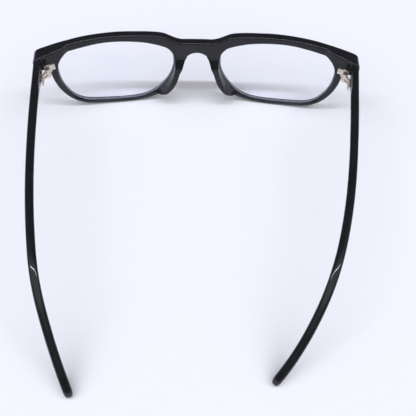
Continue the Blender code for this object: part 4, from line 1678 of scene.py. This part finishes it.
@dataclass
class Studio:
    """Pale floor, surroundings that glow overhead and behind, and one long strip lamp.

    Args:
        floor_size: Side of the floor in metres.
        backdrop: Colour seen beyond the floor.
        glow: Colour of the surroundings where they glow.
        dim: Their colour elsewhere.
        high_band: Upward part of a direction at which the glow starts and is full.
        behind_band: Forward part of a direction at which the glow starts and is full.
        strip_size: Length and width of the lamp in metres.
        strip_height: Height of the lamp in metres.
        strip_back: Its distance behind the middle in metres.
        strip_power: Its power in watts.
        strip_colour: Its colour.
    """

    floor_size: float = 8.0
    backdrop: tuple[float, float, float] = (0.871, 0.888, 1.0)
    glow: tuple[float, float, float] = (1.24, 1.23, 1.24)
    dim: tuple[float, float, float] = (0.14, 0.14, 0.15)
    high_band: tuple[float, float] = (0.3, 0.7)
    behind_band: tuple[float, float] = (0.42, 0.0)
    strip_size: tuple[float, float] = (2.4, 0.035)
    strip_height: float = 1.5
    strip_back: float = 0.068
    strip_power: float = 12.8
    strip_colour: tuple[float, float, float] = (0.84, 0.89, 1.0)

    def build(self, finishes: Finishes) -> None:
        """Make the floor, the world and the lamp.

        Args:
            finishes: Materials of the scene.
        """
        half = self.floor_size / 2
        mesh = bpy.data.meshes.new("floor")
        corners = [(-half, -half, 0), (half, -half, 0), (half, half, 0), (-half, half, 0)]
        mesh.from_pydata(corners, [], [(0, 1, 2, 3)])
        mesh.materials.append(finishes.floor)
        floor = bpy.data.objects.new("floor", mesh)
        bpy.context.scene.collection.objects.link(floor)
        self.world()
        self.strip()

    def world(self) -> None:
        """Surroundings that glow overhead and behind, and show pale beyond the floor."""
        made = bpy.data.worlds.new("surroundings")
        bpy.context.scene.world = made
        made.use_nodes = True
        tree = made.node_tree
        place = tree.nodes.new("ShaderNodeTexCoord")
        split = tree.nodes.new("ShaderNodeSeparateXYZ")
        tree.links.new(place.outputs["Generated"], split.inputs[0])
        both = tree.nodes.new("ShaderNodeMath")
        both.operation = "MULTIPLY"
        for slot, (axis, band) in enumerate((("Z", self.high_band), ("Y", self.behind_band))):
            share = tree.nodes.new("ShaderNodeMapRange")
            share.interpolation_type = "SMOOTHSTEP"
            low, high = band
            share.inputs["From Min"].default_value = low
            share.inputs["From Max"].default_value = high
            tree.links.new(split.outputs[axis], share.inputs["Value"])
            tree.links.new(share.outputs["Result"], both.inputs[slot])
        ramp = tree.nodes.new("ShaderNodeValToRGB")
        ramp.color_ramp.elements[0].color = (*self.dim, 1.0)
        ramp.color_ramp.elements[1].color = (*self.glow, 1.0)
        tree.links.new(both.outputs["Value"], ramp.inputs["Fac"])
        path = tree.nodes.new("ShaderNodeLightPath")
        seen = tree.nodes.new("ShaderNodeMix")
        seen.data_type = "RGBA"
        tree.links.new(path.outputs["Is Camera Ray"], seen.inputs["Factor"])
        tree.links.new(ramp.outputs["Color"], seen.inputs["A"])
        seen.inputs["B"].default_value = (*self.backdrop, 1.0)
        background = tree.nodes["Background"]
        tree.links.new(seen.outputs["Result"], background.inputs["Color"])
        background.inputs["Strength"].default_value = 1.0

    def strip(self) -> None:
        """Long overhead area lamp, a little behind the frame."""
        data = bpy.data.lights.new("strip", "AREA")
        data.shape = "RECTANGLE"
        data.size, data.size_y = self.strip_size
        data.energy = self.strip_power
        data.color = self.strip_colour
        lamp = bpy.data.objects.new("strip", data)
        spot = Vector((0.0, -self.strip_back, self.strip_height))
        turn = (-spot).to_track_quat("-Z", "Y").to_matrix().to_4x4()
        lamp.matrix_world = Matrix.Translation(spot) @ turn
        bpy.context.scene.collection.objects.link(lamp)


@dataclass
class CameraRig:
    """Camera above and behind the frame, looking down and forward.

    Args:
        focal: Focal length in millimetres.
        sensor: Sensor width in millimetres.
        pitch: Downward angle in degrees.
        yaw: Turn towards +X in degrees.
        roll: Tilt of the camera in degrees.
        lateral: Place along X in metres.
        behind: Distance behind the front of the frame in metres.
        height: Height over the floor in metres.
    """

    focal: float = 58.63
    sensor: float = 36.0
    pitch: float = 63.67
    yaw: float = 2.33
    roll: float = 2.78
    lateral: float = 0.00025
    behind: float = 0.19688
    height: float = 0.2666

    def build(self) -> bpy.types.Object:
        """Make the camera and set it as the scene's.

        Returns:
            The camera.
        """
        pitch, yaw, roll = (math.radians(a) for a in (self.pitch, self.yaw, self.roll))
        forward = Vector((
            math.sin(yaw) * math.cos(pitch), math.cos(yaw) * math.cos(pitch), -math.sin(pitch),
        ))
        right = Vector((math.cos(yaw), -math.sin(yaw), 0.0))
        up = right.cross(forward)
        across = right * math.cos(roll) + up * math.sin(roll)
        upward = up * math.cos(roll) - right * math.sin(roll)
        data = bpy.data.cameras.new("camera")
        data.sensor_width = self.sensor
        data.lens = self.focal
        camera = bpy.data.objects.new("camera", data)
        spot = Vector((self.lateral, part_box("front")[1][1] - self.behind, self.height))
        turn = Matrix((across, upward, -forward)).transposed().to_4x4()
        camera.matrix_world = Matrix.Translation(spot) @ turn
        bpy.context.scene.collection.objects.link(camera)
        bpy.context.scene.camera = camera
        return camera


def main() -> None:
    """Build the scene in order."""
    logging.basicConfig(level=logging.INFO, format="%(name)s: %(message)s")
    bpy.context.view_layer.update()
    CameraRig().build()
    finishes = Finishes()
    Studio().build(finishes)
    layout = FrontLayout(FrontSizes(), OUTLINE_STEP)
    pieces = [FrontPiece(layout).build(finishes)]
    for side in Side:
        pieces.append(NosePad(layout, side).build(finishes))
        pieces.append(Lens(layout, side).build(finishes))
    for side, curve in CURVES.items():
        pieces.append(Temple(layout, side, curve).build(finishes))
    for piece in pieces:
        LOG.info("%s: %d faces", piece.name, len(piece.data.polygons))
    for name in Metalwork().dress(finishes):
        LOG.info("%s: finish assigned", name)
    bpy.context.scene.view_settings.view_transform = "Standard"


if __name__ == "__main__":
    main()
